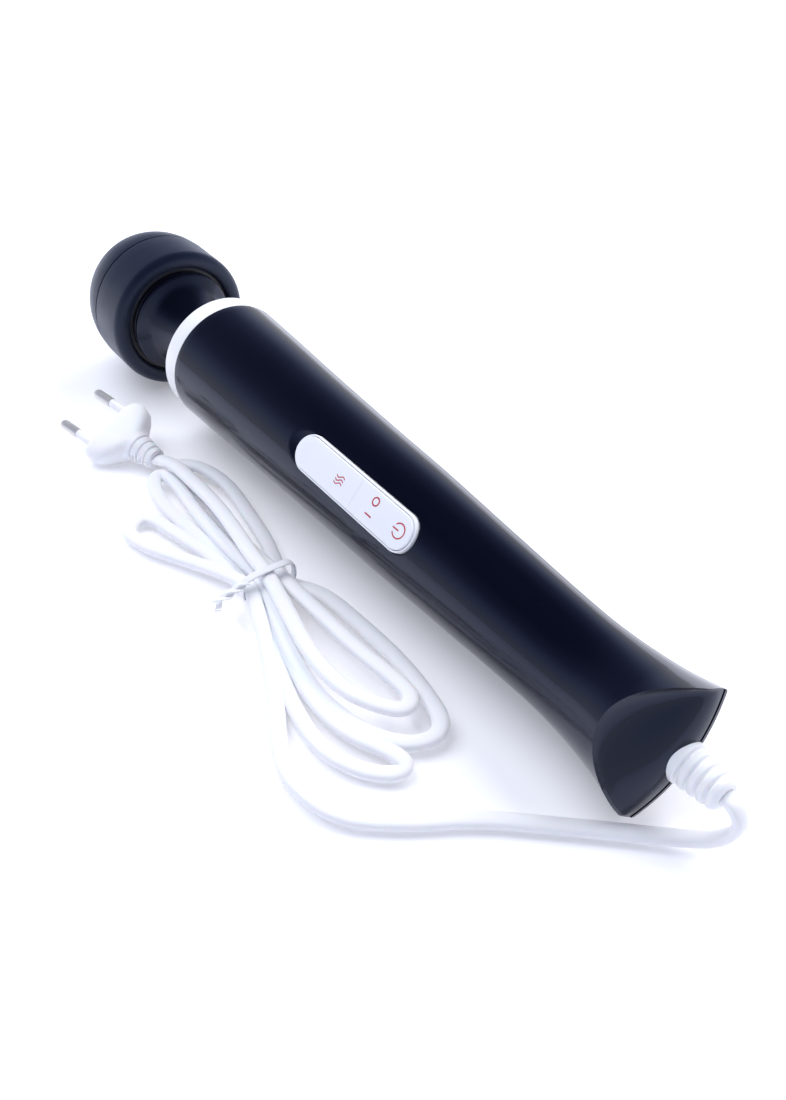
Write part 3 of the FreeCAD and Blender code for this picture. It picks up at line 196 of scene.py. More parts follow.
BLUISH = (0.62, 0.7, 1, 1)
MATERIALS = {
    "cap_silicone": surface("cap_silicone", (0.004, 0.006, 0.015), 0.4, 2600, 0.3, Sheen_Weight=0.12,
                            Specular_Tint=BLUISH, Sheen_Roughness=0.4, Sheen_Tint=(0.6, 0.7, 1, 1)),
    "boot_rubber": surface("boot_rubber", (0.002, 0.0025, 0.006), 0.2, 1800, 0.1,
                           Specular_Tint=BLUISH),
    "shell_gloss": surface("shell_gloss", (0.002, 0.0025, 0.007), 0.12, 1200, 0.015, 0.6,
                           Specular_Tint=BLUISH),
    "white_gloss": surface("white_gloss", (0.88, 0.88, 0.89), 0.2, 1500, 0.03, Coat_Weight=0.3),
    "key_white": surface("key_white", (0.86, 0.87, 0.91), 0.22, 1500, 0.03, Coat_Weight=0.2),
    "white_soft": surface("white_soft", (0.9, 0.9, 0.92), 0.4, 1600, 0.12, Subsurface_Weight=0.15,
                          Subsurface_Scale=0.002),
    "cord_white": surface("cord_white", (0.9, 0.9, 0.92), 0.33, 1400, 0.12, Subsurface_Weight=0.1,
                          Subsurface_Scale=0.002, Coat_Weight=0.15),
    "tie_white": surface("tie_white", (0.84, 0.84, 0.86), 0.35, 1500, 0.1),
    "pin_metal": surface("pin_metal", (0.72, 0.7, 0.68), 0.34, 900, 0.08, 1.0, Metallic=0.6),
    "sign_red": surface("sign_red", (0.5, 0.03, 0.04), 0.45, 1500, 0.05),
    "inner_plastic": surface("inner_plastic", (0.02, 0.02, 0.024), 0.45, 1500, 0.1),
    "inner_rubber": surface("inner_rubber", (0.015, 0.015, 0.015), 0.7, 1500, 0.2),
    "mat_rubber": surface("mat_rubber", (0.25, 0.26, 0.28), 0.6, 1500, 0.15),
    "steel": surface("steel", (0.5, 0.5, 0.52), 0.3, 1500, 0.1, 1.0, Metallic=1.0),
    "weight_steel": surface("weight_steel", (0.4, 0.4, 0.42), 0.4, 1500, 0.2, Metallic=1.0),
    "motor_steel": surface("motor_steel", (0.45, 0.45, 0.46), 0.35, 1500, 0.1, 1.0, Metallic=1.0),
    "rotor_steel": surface("rotor_steel", (0.35, 0.35, 0.37), 0.4, 1500, 0.2, Metallic=1.0),
    "ferrite": surface("ferrite", (0.05, 0.05, 0.055), 0.6, 1500, 0.2),
    "brass": surface("brass", (0.6, 0.42, 0.16), 0.35, 1500, 0.1, Metallic=1.0),
    "board": surface("board", (0.02, 0.12, 0.05), 0.45, 1500, 0.1),
    "copper": surface("copper", (0.55, 0.25, 0.12), 0.35, 1500, 0.2, Metallic=1.0),
    "fuse_glass": surface("fuse_glass", (0.7, 0.75, 0.75), 0.1, 1500, 0.02, Transmission_Weight=0.6),
    "lead_brown": surface("lead_brown", (0.15, 0.06, 0.03), 0.4, 1500, 0.1),
    "lead_blue": surface("lead_blue", (0.03, 0.08, 0.35), 0.4, 1500, 0.1),
    "lead_red": surface("lead_red", (0.4, 0.02, 0.02), 0.4, 1500, 0.1),
    "lead_black": surface("lead_black", (0.02, 0.02, 0.02), 0.4, 1500, 0.1),
}

# ---------------------------------------------------------------- building blocks


def piece(name, points, faces, place, slot, body=None, nodes=(), sharp=38):
    """A smooth-shaded mesh from millimetre points, put in place, riding on its body for its CAD nodes."""
    mesh = bpy.data.meshes.new(name)
    mesh.from_pydata([(place @ Vector(point)) * MM for point in points], [], faces)
    work = bmesh.new()
    work.from_mesh(mesh)
    bmesh.ops.remove_doubles(work, verts=work.verts, dist=0.000001)
    bmesh.ops.recalc_face_normals(work, faces=work.faces)
    work.to_mesh(mesh)
    work.free()
    mesh.shade_smooth()
    mesh.set_sharp_from_angle(angle=math.radians(sharp))
    mesh.materials.append(MATERIALS[slot])
    item = bpy.data.objects.new(name + "_look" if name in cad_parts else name, mesh)
    bpy.context.scene.collection.objects.link(item)
    if nodes:
        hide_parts(*nodes)
    if body:
        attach(item, body)
    return item


def grid_faces(rows, columns, closed):
    """Quads of a grid stored row by row; closed joins its last column to its first."""
    faces = []
    for row in range(rows - 1):
        for column in range(columns if closed else columns - 1):
            after = (column + 1) % columns
            faces.append((row * columns + column, row * columns + after,
                          (row + 1) * columns + after, (row + 1) * columns + column))
    return faces


def rounded(outline, radius, steps=4):
    """An open outline with its inner corners turned into small curves."""
    made = [Vector(outline[0])]
    for before, corner, after in zip(outline, outline[1:], outline[2:]):
        before, corner, after = Vector(before), Vector(corner), Vector(after)
        reach = min(radius, (corner - before).length * 0.45, (after - corner).length * 0.45)
        first = corner + (before - corner).normalized() * reach
        last = corner + (after - corner).normalized() * reach
        for step in range(steps + 1):
            t = step / steps
            made.append(first * (1 - t) ** 2 + corner * 2 * t * (1 - t) + last * t * t)
    made.append(Vector(outline[-1]))
    return made


def arc_between(start, end, radius, steps):
    """Points of an arc in an outline; a positive radius bulges away from the axis."""
    start, end = Vector(start), Vector(end)
    chord = end - start
    side = Vector((-chord.y, chord.x)).normalized()
    depth = math.sqrt(radius * radius - chord.length_squared / 4)
    centre = (start + end) / 2 - side * depth * (1 if radius > 0 else -1)
    first, last = start - centre, end - centre
    angle = last.angle_signed(first)
    points = []
    for step in range(steps + 1):
        part = angle * step / steps
        points.append(centre + Matrix.Rotation(part, 2) @ first)
    return points


def lathe(name, outline, place, slot, body=None, nodes=(), segments=120, sharp=38):
    """An outline of (x, radius) turned about x."""
    points = []
    for station in outline:
        for number in range(segments):
            angle = 2 * math.pi * number / segments
            points.append((station[0], station[1] * math.cos(angle), station[1] * math.sin(angle)))
    return piece(name, points, grid_faces(len(outline), segments, True), place, slot, body, nodes, sharp)


def spread_list(start, end, count):
    return [start + (end - start) * number / count for number in range(count)]


# ---------------------------------------------------------------- head and neck


def make_head():
    mid, dome, band = -179, 29, 29.2
    outline = []
    for number in range(41):
        angle = math.radians(90 * number / 40)
        outline.append((mid - dome * math.cos(angle), dome * math.sin(angle)))
    groove = [(mid, dome), (mid + 0.2, 28.4), (mid + 0.6, 28.4), (mid + 0.9, band), (-171, band),
              (-163, band)]
    outline += rounded(groove, 0.5)[1:]
    for number in range(21):
        angle = math.radians(150 * number / 20)
        outline.append((-161.2 + 3.8 * math.sin(angle), 25.6 + (band - 25.6) * math.cos(angle)))
    lathe("head_cap", outline, WAND, "cap_silicone", "head", ("head_cap",), 160, 60)


def make_neck():
    waist = -141
    front = rounded([(-160, 12.6), (-160, 21.3), (-158.4, 21.3), (-158.1, 20.9), (-157.8, 21.3), (-156.6, 21.3),
                     (-155.9, 20.5), (-154.6, 18.2)], 0.4)
    front += arc_between((-153.5, 16.5), (waist, 12), -26, 24)
    rear = arc_between((waist, 12), (-128, 16.8), -26, 24) + [Vector((-125, 17.35)), Vector((-122, 17.6)),
                                                              Vector((-118.2, 17.6))]
    for name, outline, bodies, span in (("neck_boot_front", front, ("neck", "head"), (waist, -154)),
                                        ("neck_boot_rear", rear, ("handle", "neck"), (-123, waist))):
        item = lathe(name, outline, WAND, "boot_rubber", None, ("neck_boot",), 120)
        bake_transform(item)

    tube_front, tube_rear = -150.9, -131.1
    for name, last, bodies, span in (("drive_tube_front", tube_front, ("neck", "head"), (waist, tube_front)),
                                     ("drive_tube_rear", tube_rear, ("handle", "neck"), (tube_rear, waist))):
        outline = [(waist, 2.6), (waist, 4.5)]
        outline += [(waist + (last - waist) * step / 12, 4.5) for step in range(1, 13)]
        outline += [(last + (waist - last) * step / 12, 2.6) for step in range(13)]
        item = lathe(name, outline, WAND, "inner_rubber", None, ("drive_coupling",), 48)
        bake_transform(item)

    collar = [(-125.2, 17.9), (-125.4, 20), (-125.4, 23.5), (-124.7, 24.3), (-120, 24.05), (-117.1, 23.9),
              (-117, 22.4)]
    lathe("collar_ring", rounded(collar, 0.6), WAND, "white_gloss", "handle", ("collar_ring",))


# ---------------------------------------------------------------- handle shells


def handle_size(x, which):
    """Half width (1) or upper half height (2) at x, on a smooth curve through the sections."""
    number = 0
    while number < len(HANDLE) - 2 and x > HANDLE[number + 1][0]:
        number += 1
    start, end = HANDLE[number], HANDLE[number + 1]
    span = end[0] - start[0]

    def slope(index):
        before = HANDLE[max(index - 1, 0)]
        after = HANDLE[min(index + 1, len(HANDLE) - 1)]
        return (after[which] - before[which]) / (after[0] - before[0])

    t = (x - start[0]) / span
    first, second = slope(number) * span, slope(number + 1) * span
    return ((2 * t ** 3 - 3 * t ** 2 + 1) * start[which] + (t ** 3 - 2 * t ** 2 + t) * first
            + (3 * t ** 2 - 2 * t ** 3) * end[which] + (t ** 3 - t ** 2) * second)


def shell_point(x, angle, side):
    tall = handle_size(x, 2 if side > 0 else 1)
    return Vector((x, handle_size(x, 1) * math.cos(angle), side * tall * math.sin(angle)))


def plan_end(y, side):
    ledge = 0 if side > 0 else END_LEDGE
    return END_X - END_PLAN_RAD + ledge + math.sqrt(END_PLAN_RAD ** 2 - y * y)


def past_end(x, angle, side):
    """True beyond the rim: above it dies out at the corners, below it starts under a thin strip."""
    point = shell_point(x, angle, side)
    if side > 0:
        share = max(1 - (point.y / SCOOP_HALF) ** 2, 0)
    else:
        share = (max(abs(point.z) - END_STRIP, 0) / UNDER_TALL) ** 0.8
    return x > plan_end(point.y, side) - SCOOP_DEEP * share


def rim_x(angle, side):
    low, high = FLARE_X, 127.5
    for _ in range(30):
        middle = (low + high) / 2
        if past_end(middle, angle, side):
            high = middle
        else:
            low = middle
    return low


def pill_distance(x, y):
    """How far a point of the panel's plane is outside the pill-shaped slot; negative is inside."""
    half = (PANEL_LONG - PANEL_WIDE) / 2
    return math.hypot(max(abs(x) - half, 0), y) - PANEL_WIDE / 2 - SLOT_GAP


PANEL_BACK = PANEL_LOCAL.inverted()


def panel_sink(point):
    """The slot for the key panel, with a scooped rest for a fingertip round its head end."""
    at = PANEL_BACK @ point
    outside = pill_distance(at.x, at.y)
    away = math.hypot(point.x - REST_X, point.y)
    if away < REST_RAD:
        sunk = point.z - REST_Z + math.sqrt(REST_RAD ** 2 - away ** 2)
        if sunk > 0:
            point = point - Vector((0, 0, sunk * sunk / (sunk + REST_SOFTNESS)))
    return outside, point - SLOT_DEEP


def screw_sink(point):
    """The wells of the four shell screws."""
    nearest = min(math.hypot(point.x - x, abs(point.y) - y) for x, y in SHELL_SCREWS) - SCREW_WELL_RAD
    return nearest, Vector((point.x, point.y, SCREW_SEAT_Z))


def on_shell(x, y, side):
    ratio = max(-1.0, min(1.0, y / handle_size(x, 1)))
    return Vector((x, y, side * handle_size(x, 2 if side > 0 else 1) * math.sqrt(1 - ratio * ratio)))


def press(point, sink, side, cell_size):
    """Sinks a grid point inside an opening, and draws one near the opening's edge onto it."""
    outside, sunk = sink(point)
    if abs(outside) < cell_size:
        step = 0.02
        slope_x = (sink(on_shell(point.x + step, point.y, side))[0] - outside) / step
        slope_y = (sink(on_shell(point.x, point.y + step, side))[0] - outside) / step
        steep = slope_x ** 2 + slope_y ** 2
        if steep > 0.01:
            point = on_shell(point.x - outside * slope_x / steep, point.y - outside * slope_y / steep, side)
            if side > 0:
                point = sink(point)[1] + SLOT_DEEP
            return point
    if outside < 0:
        return sunk
    if side > 0:
        return sunk + SLOT_DEEP
    return point


def shell_rows(side):
    """Stations along the handle before the flare, closest where something is pressed in."""
    if side > 0:
        return (spread_list(-116.2, -46, 26) + spread_list(-46, 30, 158) + spread_list(30, FLARE_X, 22))
    return (spread_list(-116.2, -58, 20) + spread_list(-58, -48, 24) + spread_list(-48, 59, 36)
            + spread_list(59, 69, 24) + spread_list(69, FLARE_X, 8))


def shell_angles(side):
    if side > 0:
        degrees = spread_list(2, 57, 15) + spread_list(57, 123, 50) + spread_list(123, 178, 15) + [178]
    else:
        left = spread_list(2, 34, 9) + spread_list(34, 66, 30)
        degrees = left + spread_list(66, 114, 12) + [180 - value for value in reversed(left)] + [178]
        degrees = sorted(set(degrees))
    return [math.radians(value) for value in degrees]


def parting_angle(x, side):
    """The angle at which the shell meets the parting gap."""
    return math.asin(PARTING_GAP / handle_size(x, 2 if side > 0 else 1))


def shell_end(top, rim, side):
    """Points at constant y from the rim down the hollow, which swells out again to the parting plane."""
    last_x = plan_end(top.y, side)
    reach = last_x - rim
    rim_z = abs(top.z)
    if side > 0:
        edge_z = PARTING_GAP
        pulls = ((rim + 0.18 * reach, rim_z * 0.55), (last_x + 0.3, rim_z * 0.55))
    else:
        edge_z = max(min(END_STRIP, rim_z * 0.9), PARTING_GAP)
        pulls = ((rim + 0.2 * reach, rim_z * 0.5), (last_x - 0.4 * reach, edge_z * 1.4))
    curve = ((rim + 0.05, rim_z - 0.12), *pulls, (last_x, edge_z))
    points = []
    for step in range(25):
        t = step / 24
        weights = ((1 - t) ** 3, 3 * t * (1 - t) ** 2, 3 * t * t * (1 - t), t ** 3)
        x = sum(weight * pull[0] for weight, pull in zip(weights, curve))
        tall = sum(weight * pull[1] for weight, pull in zip(weights, curve))
        points.append(Vector((min(x, last_x), top.y, side * max(tall, PARTING_GAP))))
    points.append(Vector((last_x, top.y, side * (edge_z + PARTING_GAP) / 2)))
    points.append(Vector((last_x, top.y, side * PARTING_GAP)))
    points.append(Vector((last_x - 0.6, top.y * 0.99, side * PARTING_GAP)))
    return points


def make_shell(side, name):
    sink = panel_sink if side > 0 else screw_sink
    before = shell_rows(side)
    flare = [1 - (1 - number / 34) ** 1.4 for number in range(1, 34)] + [0.992, 1.0]
    columns = []
    angles = shell_angles(side)
    lips = [None, "edge"] + angles + ["edge", None]
    for number, angle in enumerate(lips):
        mirror = number > len(lips) / 2
        column = []

        def outer(x):
            if angle in (None, "edge"):
                edge = parting_angle(x, side)
                point = shell_point(x, math.pi - edge if mirror else edge, side)
                inward = 1.5 if angle is None else 0.12
                point.y -= math.copysign(inward, point.y)
                return point
            return shell_point(x, angle, side)

        real = 0.004 if angle in (None, "edge") else angle
        if mirror and angle in (None, "edge"):
            real = math.pi - 0.004
        for x, inset in ((-117, 1.4), (-117, 0.7), (-116.85, 0.25), (-116.5, 0.05)):
            point = outer(x)
            shrink = 1 - inset / 24.6
            column.append(Vector((x, point.y * shrink, point.z * shrink)))
        for x in before:
            point = outer(x)
            if not (angle in (None, "edge")):
                point = press(point, sink, side, 0.27)
            column.append(point)
        rim = rim_x(real, side)
        for part in flare:
            column.append(outer(FLARE_X + (rim - FLARE_X) * part))
        column += shell_end(column[-1], rim, side)
        columns.append(column)
    points = [point for column in columns for point in column]
    faces = grid_faces(len(columns), len(columns[0]), False)
    piece(name, points, faces, WAND, "shell_gloss", "handle", (name,), 30)


# ---------------------------------------------------------------- key panel


def pill_ring(inset, tall, count=28):
    """Points round the panel's pill outline, drawn in by an inset, on the crowned surface less `tall`."""
    half = (PANEL_LONG - PANEL_WIDE) / 2
    radius = max(PANEL_WIDE / 2 - inset, 0)
    ring = []
    for end in (1, -1):
        for number in range(count + 1):
            angle = math.radians(-90 + 180 * number / count)
            x = end * (half + radius * math.cos(angle))
            y = end * radius * math.sin(angle)
            ring.append(Vector((x, y, -y * y / (2 * CROWN_RAD) - tall)))
        start, finish = ring[-1], Vector((-end * half, ring[-1].y, ring[-1].z))
        for number in range(1, 30):
            ring.append(start.lerp(finish, number / 30))
    return ring


def pill_piece(name, layers, slot, body, nodes, cut=None):
    """Rings of the pill outline joined from the outside in; cut keeps one side of the key split."""
    rings = [pill_ring(inset, tall) for inset, tall in layers]
    points = [point for ring in rings for point in ring]
    faces = grid_faces(len(rings), len(rings[0]), True)
    if cut is None:
        return piece(name, points, faces, PANEL, slot, body, nodes, 50)
    kept_side, gap = cut
    work = bmesh.new()
    corners = [work.verts.new(point) for point in points]
    for face in faces:
        work.faces.new([corners[number] for number in face])
    bmesh.ops.remove_doubles(work, verts=work.verts, dist=0.03)
    whole = list(work.verts) + list(work.edges) + list(work.faces)
    bmesh.ops.bisect_plane(work, geom=whole, plane_co=(KEY_SPLIT + kept_side * gap / 2, 0, 0),
                           plane_no=(kept_side, 0, 0), clear_inner=True)
    work.verts.index_update()
    new_points = [vertex.co.copy() for vertex in work.verts]
    new_faces = [[vertex.index for vertex in face.verts] for face in work.faces]
    edge_x = KEY_SPLIT + kept_side * gap / 2
    rim = sorted([number for number, point in enumerate(new_points) if abs(point.x - edge_x) < 0.0001],
                 key=lambda number: new_points[number].y)
    for first, second in zip(rim, rim[1:]):
        low_first = len(new_points)
        for corner in (first, second):
            point = new_points[corner]
            new_points.append(Vector((point.x, point.y, -3)))
        new_faces.append([first, second, low_first + 1, low_first])
    work.free()
    return piece(name, new_points, new_faces, PANEL, slot, body, nodes, 50)


def make_panel():
    pill_piece("panel_frame", [(0, 4.4), (0, 1.0), (0.05, 0.72), (0.2, 0.55), (0.45, 0.5), (0.62, 0.55),
                               (PANEL_RIM, 0.75), (PANEL_RIM, 4.4)], "key_white", "handle", ("panel_frame",))
    edge = PANEL_RIM + 0.14
    key_layers = [(edge, 3), (edge, 0.42), (edge + 0.05, 0.22), (edge + 0.16, 0.08), (edge + 0.35, 0.01),
                  (edge + 0.6, 0), (2.2, 0), (3.2, 0), (4.3, 0), (5.5, 0), (PANEL_WIDE / 2, 0)]
    for name, body, kept_side in (("mode_button", "mode_button", -1), ("power_button", "power_button", 1)):
        pill_piece(name, key_layers, "key_white", body, (name,), (kept_side, 0.07))


def stroke(name, line, width, body):
    """A printed line on the crowned keys: (x, y) points in the panel's frame, drawn as a thin ribbon."""
    points = []
    flat = [Vector((x, y)) for x, y in line]
    for number, at in enumerate(flat):
        before = flat[max(number - 1, 0)]
        after = flat[min(number + 1, len(flat) - 1)]
        along = (after - before).normalized()
        side = Vector((-along.y, along.x)) * width / 2
        for edge in (at + side, at - side):
            points.append((edge.x, edge.y, -edge.y ** 2 / (2 * CROWN_RAD) + 0.035))
    return piece(name, points, grid_faces(len(flat), 2, False), PANEL, "sign_red", body)


def ring_line(x, y, radius, start, end, count=40):
    angles = [math.radians(start + (end - start) * number / count) for number in range(count + 1)]
    return [(x + radius * math.cos(angle), y + radius * math.sin(angle)) for angle in angles]


def make_signs():
    for number in range(3):
        y = 1.15 * (number - 1)
        line = [(-8.5 + 0.2 * step, y - 0.5 * math.sin(math.pi * step / 10)) for step in range(21)]
        stroke("sign_wave_%d" % number, line, 0.36, "mode_button")
    stroke("sign_bar", [(9.7, -2.4), (11.3, -2.4), (12.9, -2.4)], 0.5, "power_button")
    stroke("sign_ring", ring_line(11.3, 2.6, 1.35, 0, 360), 0.5, "power_button")
    stroke("sign_power_ring", ring_line(25, 0.3, 2.45, 212, 508), 0.45, "power_button")
    stroke("sign_power_bar", [(22.2, 0.3), (23.4, 0.3), (25, 0.3)], 0.45, "power_button")


# ---------------------------------------------------------------- cord, gland, tie and plug


def make_gland():
    outline = [(117, 6.6), (126.4, 6.6), (126.6, 5.3), (127.6, 5.2), (127.8, 6.3), (129.5, 6.2), (129.7, 5.1),
               (130.6, 5), (130.8, 6), (132.5, 5.9), (132.7, 4.9), (133.6, 4.8), (133.8, 5.7), (135.5, 5.6),
               (135.7, 4.6), (136.4, 4.5), (136.6, 5.3), (138.2, 5), (139, 4), (139, 2)]
    lathe("strain_relief", rounded(outline, 0.45, 3), WAND, "white_soft", "handle", ("strain_relief",), 72)


def cord_centre():
    """Points of the smooth line whose control points are the route."""
    curve = bpy.data.curves.new("cord_line", "CURVE")
    curve.dimensions = "3D"
    curve.resolution_u = 10
    spline = curve.splines.new("NURBS")
    spline.points.add(len(CORD_ROUTE) - 1)
    for number, point in enumerate(CORD_ROUTE):
        spline.points[number].co = (*(Vector(point) * MM), 1)
    spline.order_u = 3
    spline.use_endpoint_u = True
    line = bpy.data.objects.new("cord_line", curve)
    mesh = bpy.data.meshes.new_from_object(line)
    points = [vertex.co.copy() for vertex in mesh.vertices]
    bpy.data.objects.remove(line)
    bpy.data.meshes.remove(mesh)
    return points


def cord_frames(points):
    """For each point of the line, the directions across the flat cord and out of its flat face."""
    frames = []
    across = None
    for number, point in enumerate(points):
        along = (points[min(number + 1, len(points) - 1)] - points[max(number - 1, 0)]).normalized()
        level = along.cross(Vector((0, 0, 1)))
        weight = 0.22 * level.length
        if across is None:
            across = level.normalized()
        if level.dot(across) < 0:
            level = -level
        across = across.lerp(level.normalized(), weight)
        across = (across - along * across.dot(along)).normalized()
        frames.append((across, along.cross(across).normalized()))
    return frames


def flat_tube(name, points, frames, wide, thick, slot, rim=16):
    """A tube of rounded flat section along a line in metres."""
    corners = []
    for point, (across, outward) in zip(points, frames):
        for number in range(rim):
            angle = 2 * math.pi * number / rim
            x, y = math.cos(angle), math.sin(angle)
            x = math.copysign(abs(x) ** 0.8, x) * wide / 2
            y = math.copysign(abs(y) ** 0.8, y) * thick / 2
            corners.append((point + (across * x + outward * y) * MM) / MM)
    faces = grid_faces(len(points), rim, True)
    faces.append(list(range(rim)))
    faces.append(list(range(len(corners) - rim, len(corners))))
    return piece(name, corners, faces, ROW, slot, None, (), 180)


def make_cord():
    points = cord_centre()
    item = flat_tube("mains_cord", points, cord_frames(points), CORD_WIDE, CORD_THICK, "cord_white")
    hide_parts("power_cord", "cord_hank", "plug_lead")
    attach(item, "handle")
    return item, points


def make_tie():
    """A flat twist tie round the hank's waist, with its two ends twisted together."""
    middle_y, middle_z = -43.4, 5.2
    loop = []
    for number in range(49):
        angle = 2 * math.pi * number / 48
        x, y = math.cos(angle), math.sin(angle)
        at_y = middle_y + math.copysign(abs(x) ** 0.55, x) * 10.1
        at_z = middle_z + math.copysign(abs(y) ** 0.6, y) * (5.9 if y > 0 else 4.8)
        loop.append(Vector((17 + 0.8 * math.sin(angle), at_y, at_z)) * MM)
    frames = [(Vector((1, 0, 0)), Vector((0, math.cos(2 * math.pi * n / 48), math.sin(2 * math.pi * n / 48))))
              for n in range(49)]
    band = flat_tube("twist_tie", loop, frames, 3.2, 0.7, "tie_white", 10)
    pieces = [band]
    start, end = Vector((18, -51.5, 9.8)), Vector((22, -66, 10.5))
    for hand in (0, 1):
        line = []
        for number in range(61):
            t = number / 60
            angle = hand * math.pi + t * 9
            swing = 0.9 + (1.8 * max(t - 0.7, 0) / 0.3 if hand else 0)
            off = Vector((math.cos(angle), 0, math.sin(angle))) * swing
            line.append((start.lerp(end, t) + off) * MM)
        pieces.append(flat_tube("tie_end_%d" % hand, line, cord_frames(line), 2.2, 0.6, "tie_white", 10))
    for item in pieces:
        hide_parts("cord_tie")
        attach(item, "handle")
    return pieces


def plug_matrix():
    across = Vector((0, 0, 1)).cross(PLUG_AIM).normalized()
    upward = PLUG_AIM.cross(across)
    level = Matrix((PLUG_AIM, across, upward)).transposed().to_4x4()
    return Matrix.Translation(PLUG_AT) @ level @ turn("X", PLUG_ROLL)


def make_plug():
    place = plug_matrix()
    # moulding: x from the pin face backwards, half width, half thickness, squareness
    stations = [(0.0, 0.3, 0.2, 3), (0.0, 12.4, 4.2, 3.2), (-0.25, 13.3, 4.6, 3.2), (-1.2, 14.5, 5.2, 3.2),
                (-3, 15.1, 5.4, 3.2), (-5, 15.0, 5.4, 3.1), (-8, 14.0, 5.6, 3), (-10.5, 11.6, 5.9, 2.8),
                (-12.5, 8.8, 6.05, 2.5), (-14, 7.0, 5.95, 2.2), (-15, 6.1, 5.8, 2.1)]
    rim = 72
    points = []

    def add_ring(x, wide, thick, square, slots=0):
        for number in range(rim):
            angle = 2 * math.pi * number / rim
            c, s = math.cos(angle), math.sin(angle)
            y = math.copysign(abs(c) ** (2 / square), c) * wide
            z = math.copysign(abs(s) ** (2 / square), s) * thick
            if slots and slots * s > -0.45:
                y, z = y * 0.8, z * 0.8
            points.append((x, y, z))

    for station in stations:
        add_ring(*station)
    x = -15.8
    side = 1
    while x > -25.4:
        size = 5.9 - (-15.8 - x) * 0.19
        add_ring(x, size, size, 2)
        add_ring(x - 0.7, size - 0.12, size - 0.12, 2)
        add_ring(x - 0.85, size - 0.15, size - 0.15, 2, side)
        add_ring(x - 1.45, size - 0.25, size - 0.25, 2, side)
        side = -side
        x -= 1.6
    add_ring(-25.6, 4.1, 4.1, 2)
    add_ring(-26, 3.7, 3.5, 2)
    add_ring(-26, 0.2, 0.2, 2)
    rings = len(points) // rim
    body = piece("plug_body", points, grid_faces(rings, rim, True), place, "white_soft", "handle",
                 ("plug_body",), 50)
    pins = []
    for hand, tag in ((1, "a"), (-1, "b")):
        at = place @ shift(0, hand * 9.2, 0)
        sleeve = [(-2, 1.2), (-2, 1.7), (9.35, 1.7), (9.5, 1.6), (9.5, 1.2)]
        pins.append(lathe("pin_sleeve_" + tag, sleeve, at, "white_soft", "handle", ("pin_sleeves",), 40))
        tip = [(9.5, 1.2), (9.5, 1.85), (9.7, 2), (17, 2), (18.2, 1.8), (18.8, 1.3), (19, 0.6), (19, 0)]
        pins.append(lathe("plug_pin_" + tag, rounded(tip, 0.3), at, "pin_metal", "handle", ("plug_pins",), 40))
    return [body] + pins


# ---------------------------------------------------------------- hidden pieces

INNER_MATERIALS = {
    "head_housing": "inner_plastic", "head_end_plate": "inner_plastic", "head_screws": "steel",
    "front_bearing": "steel", "rear_bearing": "steel", "eccentric_shaft": "steel",
    "eccentric_weight": "weight_steel", "front_coupler": "brass", "rear_coupler": "brass",
    "motor_can": "motor_steel", "motor_end_cap": "inner_plastic",
    "motor_rotor": "rotor_steel", "motor_magnets": "ferrite", "motor_mount": "steel", "motor_screws": "steel",
    "motor_dampers": "inner_rubber", "keypad_mat": "mat_rubber", "mode_plunger": "inner_plastic",
    "power_plunger": "inner_plastic", "mode_switch": "inner_plastic", "power_switch": "inner_plastic",
    "control_board": "board", "control_board_screws": "steel", "power_board": "board",
    "power_board_screws": "steel", "choke": "copper", "capacitor": "steel", "fuse": "fuse_glass",
    "rectifier": "inner_plastic", "cord_clamp": "inner_plastic", "clamp_screws": "steel",
    "inner_cord": "cord_white", "mains_lead_live": "lead_brown", "mains_lead_neutral": "lead_blue",
    "motor_lead_a": "lead_red", "motor_lead_b": "lead_black", "shell_screws": "steel",
}


def dress_inner_pieces():
    for name, slot in INNER_MATERIALS.items():
        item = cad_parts[name]
        item.data.materials.clear()
        item.data.materials.append(MATERIALS[slot])


# ---------------------------------------------------------------- studio


def make_floor():
    mesh = bpy.data.meshes.new("table")
    reach = 4
    mesh.from_pydata([(-reach, -reach, 0), (reach, -reach, 0), (reach, reach, 0), (-reach, reach, 0)], [],
                     [(0, 1, 2, 3)])
    material = bpy.data.materials.new("table_white")
    material.use_nodes = True
    shader = material.node_tree.nodes["Principled BSDF"]
    shader.inputs["Base Color"].default_value = (0.86, 0.86, 0.9, 1)
    shader.inputs["Roughness"].default_value = 0.5
    shader.inputs["Specular IOR Level"].default_value = 0.3
    shader.inputs["Emission Color"].default_value = (1, 1, 1, 1)
    shader.inputs["Emission Strength"].default_value = 0.22
    mesh.materials.append(material)
    floor = bpy.data.objects.new("table", mesh)
    bpy.context.scene.collection.objects.link(floor)


def area_light(name, at, aim, size, energy, colour):
    data = bpy.data.lights.new(name, "AREA")
    data.shape = "RECTANGLE"
    data.size, data.size_y = size
    data.energy = energy
    data.color = colour
    item = bpy.data.objects.new(name, data)
    item.location = at
    item.rotation_euler = (Vector(aim) - Vector(at)).to_track_quat("-Z", "Y").to_euler()
    item.visible_glossy = False
    bpy.context.scene.collection.objects.link(item)


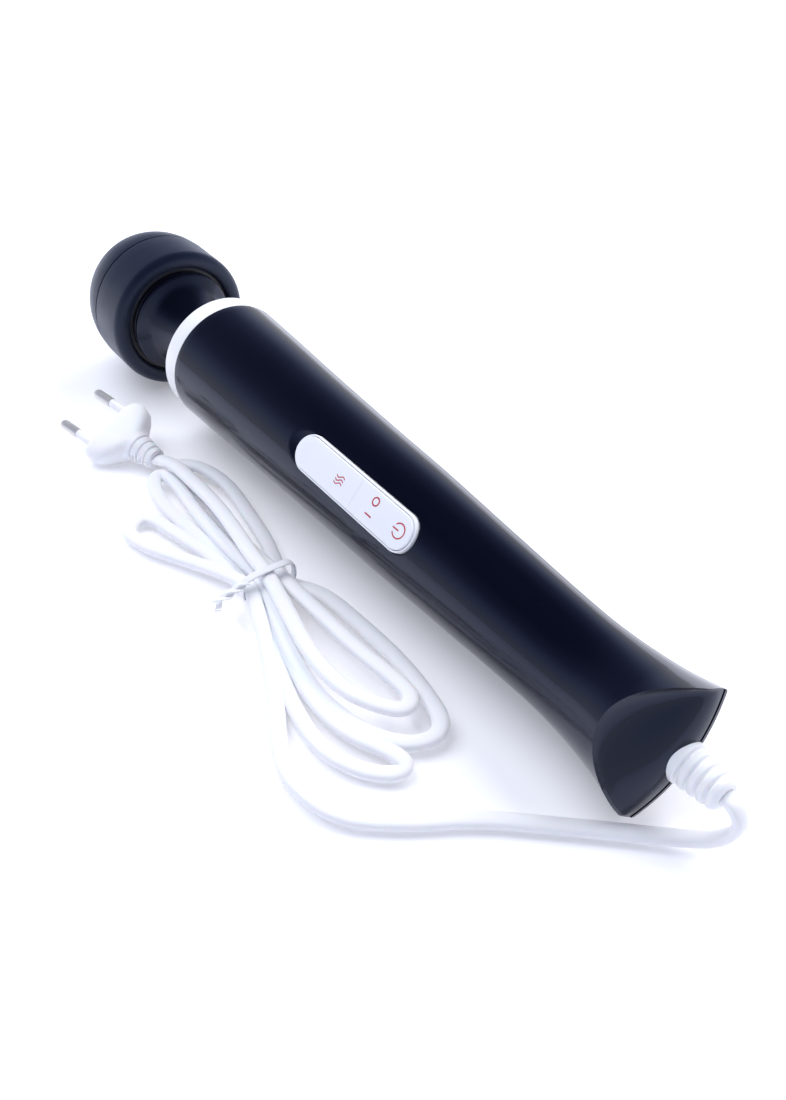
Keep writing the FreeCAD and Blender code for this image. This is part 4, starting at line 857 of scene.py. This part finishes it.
def make_studio():
    """A white room with a dark ceiling, so gloss black stays black above and pale at its sides."""
    world = bpy.data.worlds.new("studio")
    world.use_nodes = True
    tree = world.node_tree
    background = tree.nodes["Background"]
    place = tree.nodes.new("ShaderNodeTexCoord")
    split = tree.nodes.new("ShaderNodeSeparateXYZ")
    ramp = tree.nodes.new("ShaderNodeValToRGB")
    tree.links.new(place.outputs["Generated"], split.inputs["Vector"])
    tree.links.new(split.outputs["Z"], ramp.inputs["Fac"])
    tree.links.new(ramp.outputs["Color"], background.inputs["Color"])
    stops = [(0.0, (1.0, 1.0, 1.0)), (0.3, (0.62, 0.7, 0.95)), (0.55, (0.2, 0.23, 0.38)),
             (0.8, (0.04, 0.05, 0.1))]
    while len(ramp.color_ramp.elements) < len(stops):
        ramp.color_ramp.elements.new(0.5)
    for element, (at, colour) in zip(ramp.color_ramp.elements, stops):
        element.position = at
        element.color = (*colour, 1)
    background.inputs["Strength"].default_value = 0.9
    bpy.context.scene.world = world
    area_light("key", (0.1, 0.9, 0.9), (0, 0, 0), (1.6, 0.9), 18, (1, 1, 1))
    area_light("top", (-0.7, -0.3, 1.5), (0, 0, 0), (1.6, 1.6), 28, (0.92, 0.95, 1))
    bpy.context.scene.view_settings.view_transform = "Standard"


def make_camera():
    data = bpy.data.cameras.new("camera")
    data.sensor_fit = "VERTICAL"
    data.sensor_width = 36
    data.sensor_height = 36
    data.lens = 36
    data.clip_start = 0.01
    data.clip_end = 20
    item = bpy.data.objects.new("camera", data)
    item.location = Vector((268.34, -172.36, 245.06)) * MM
    look = Vector((17.93, 7.37, -4.66)) * MM - item.location
    item.rotation_euler = look.to_track_quat("-Z", "Y").to_euler()
    bpy.context.scene.collection.objects.link(item)
    bpy.context.scene.camera = item


make_camera()
make_studio()
make_floor()
cord_piece, cord_line = make_cord()
tie_pieces = make_tie()
plug_pieces = make_plug()
make_gland()
make_head()
make_neck()
make_shell(1, "upper_shell")
make_shell(-1, "lower_shell")
make_panel()
make_signs()
dress_inner_pieces()
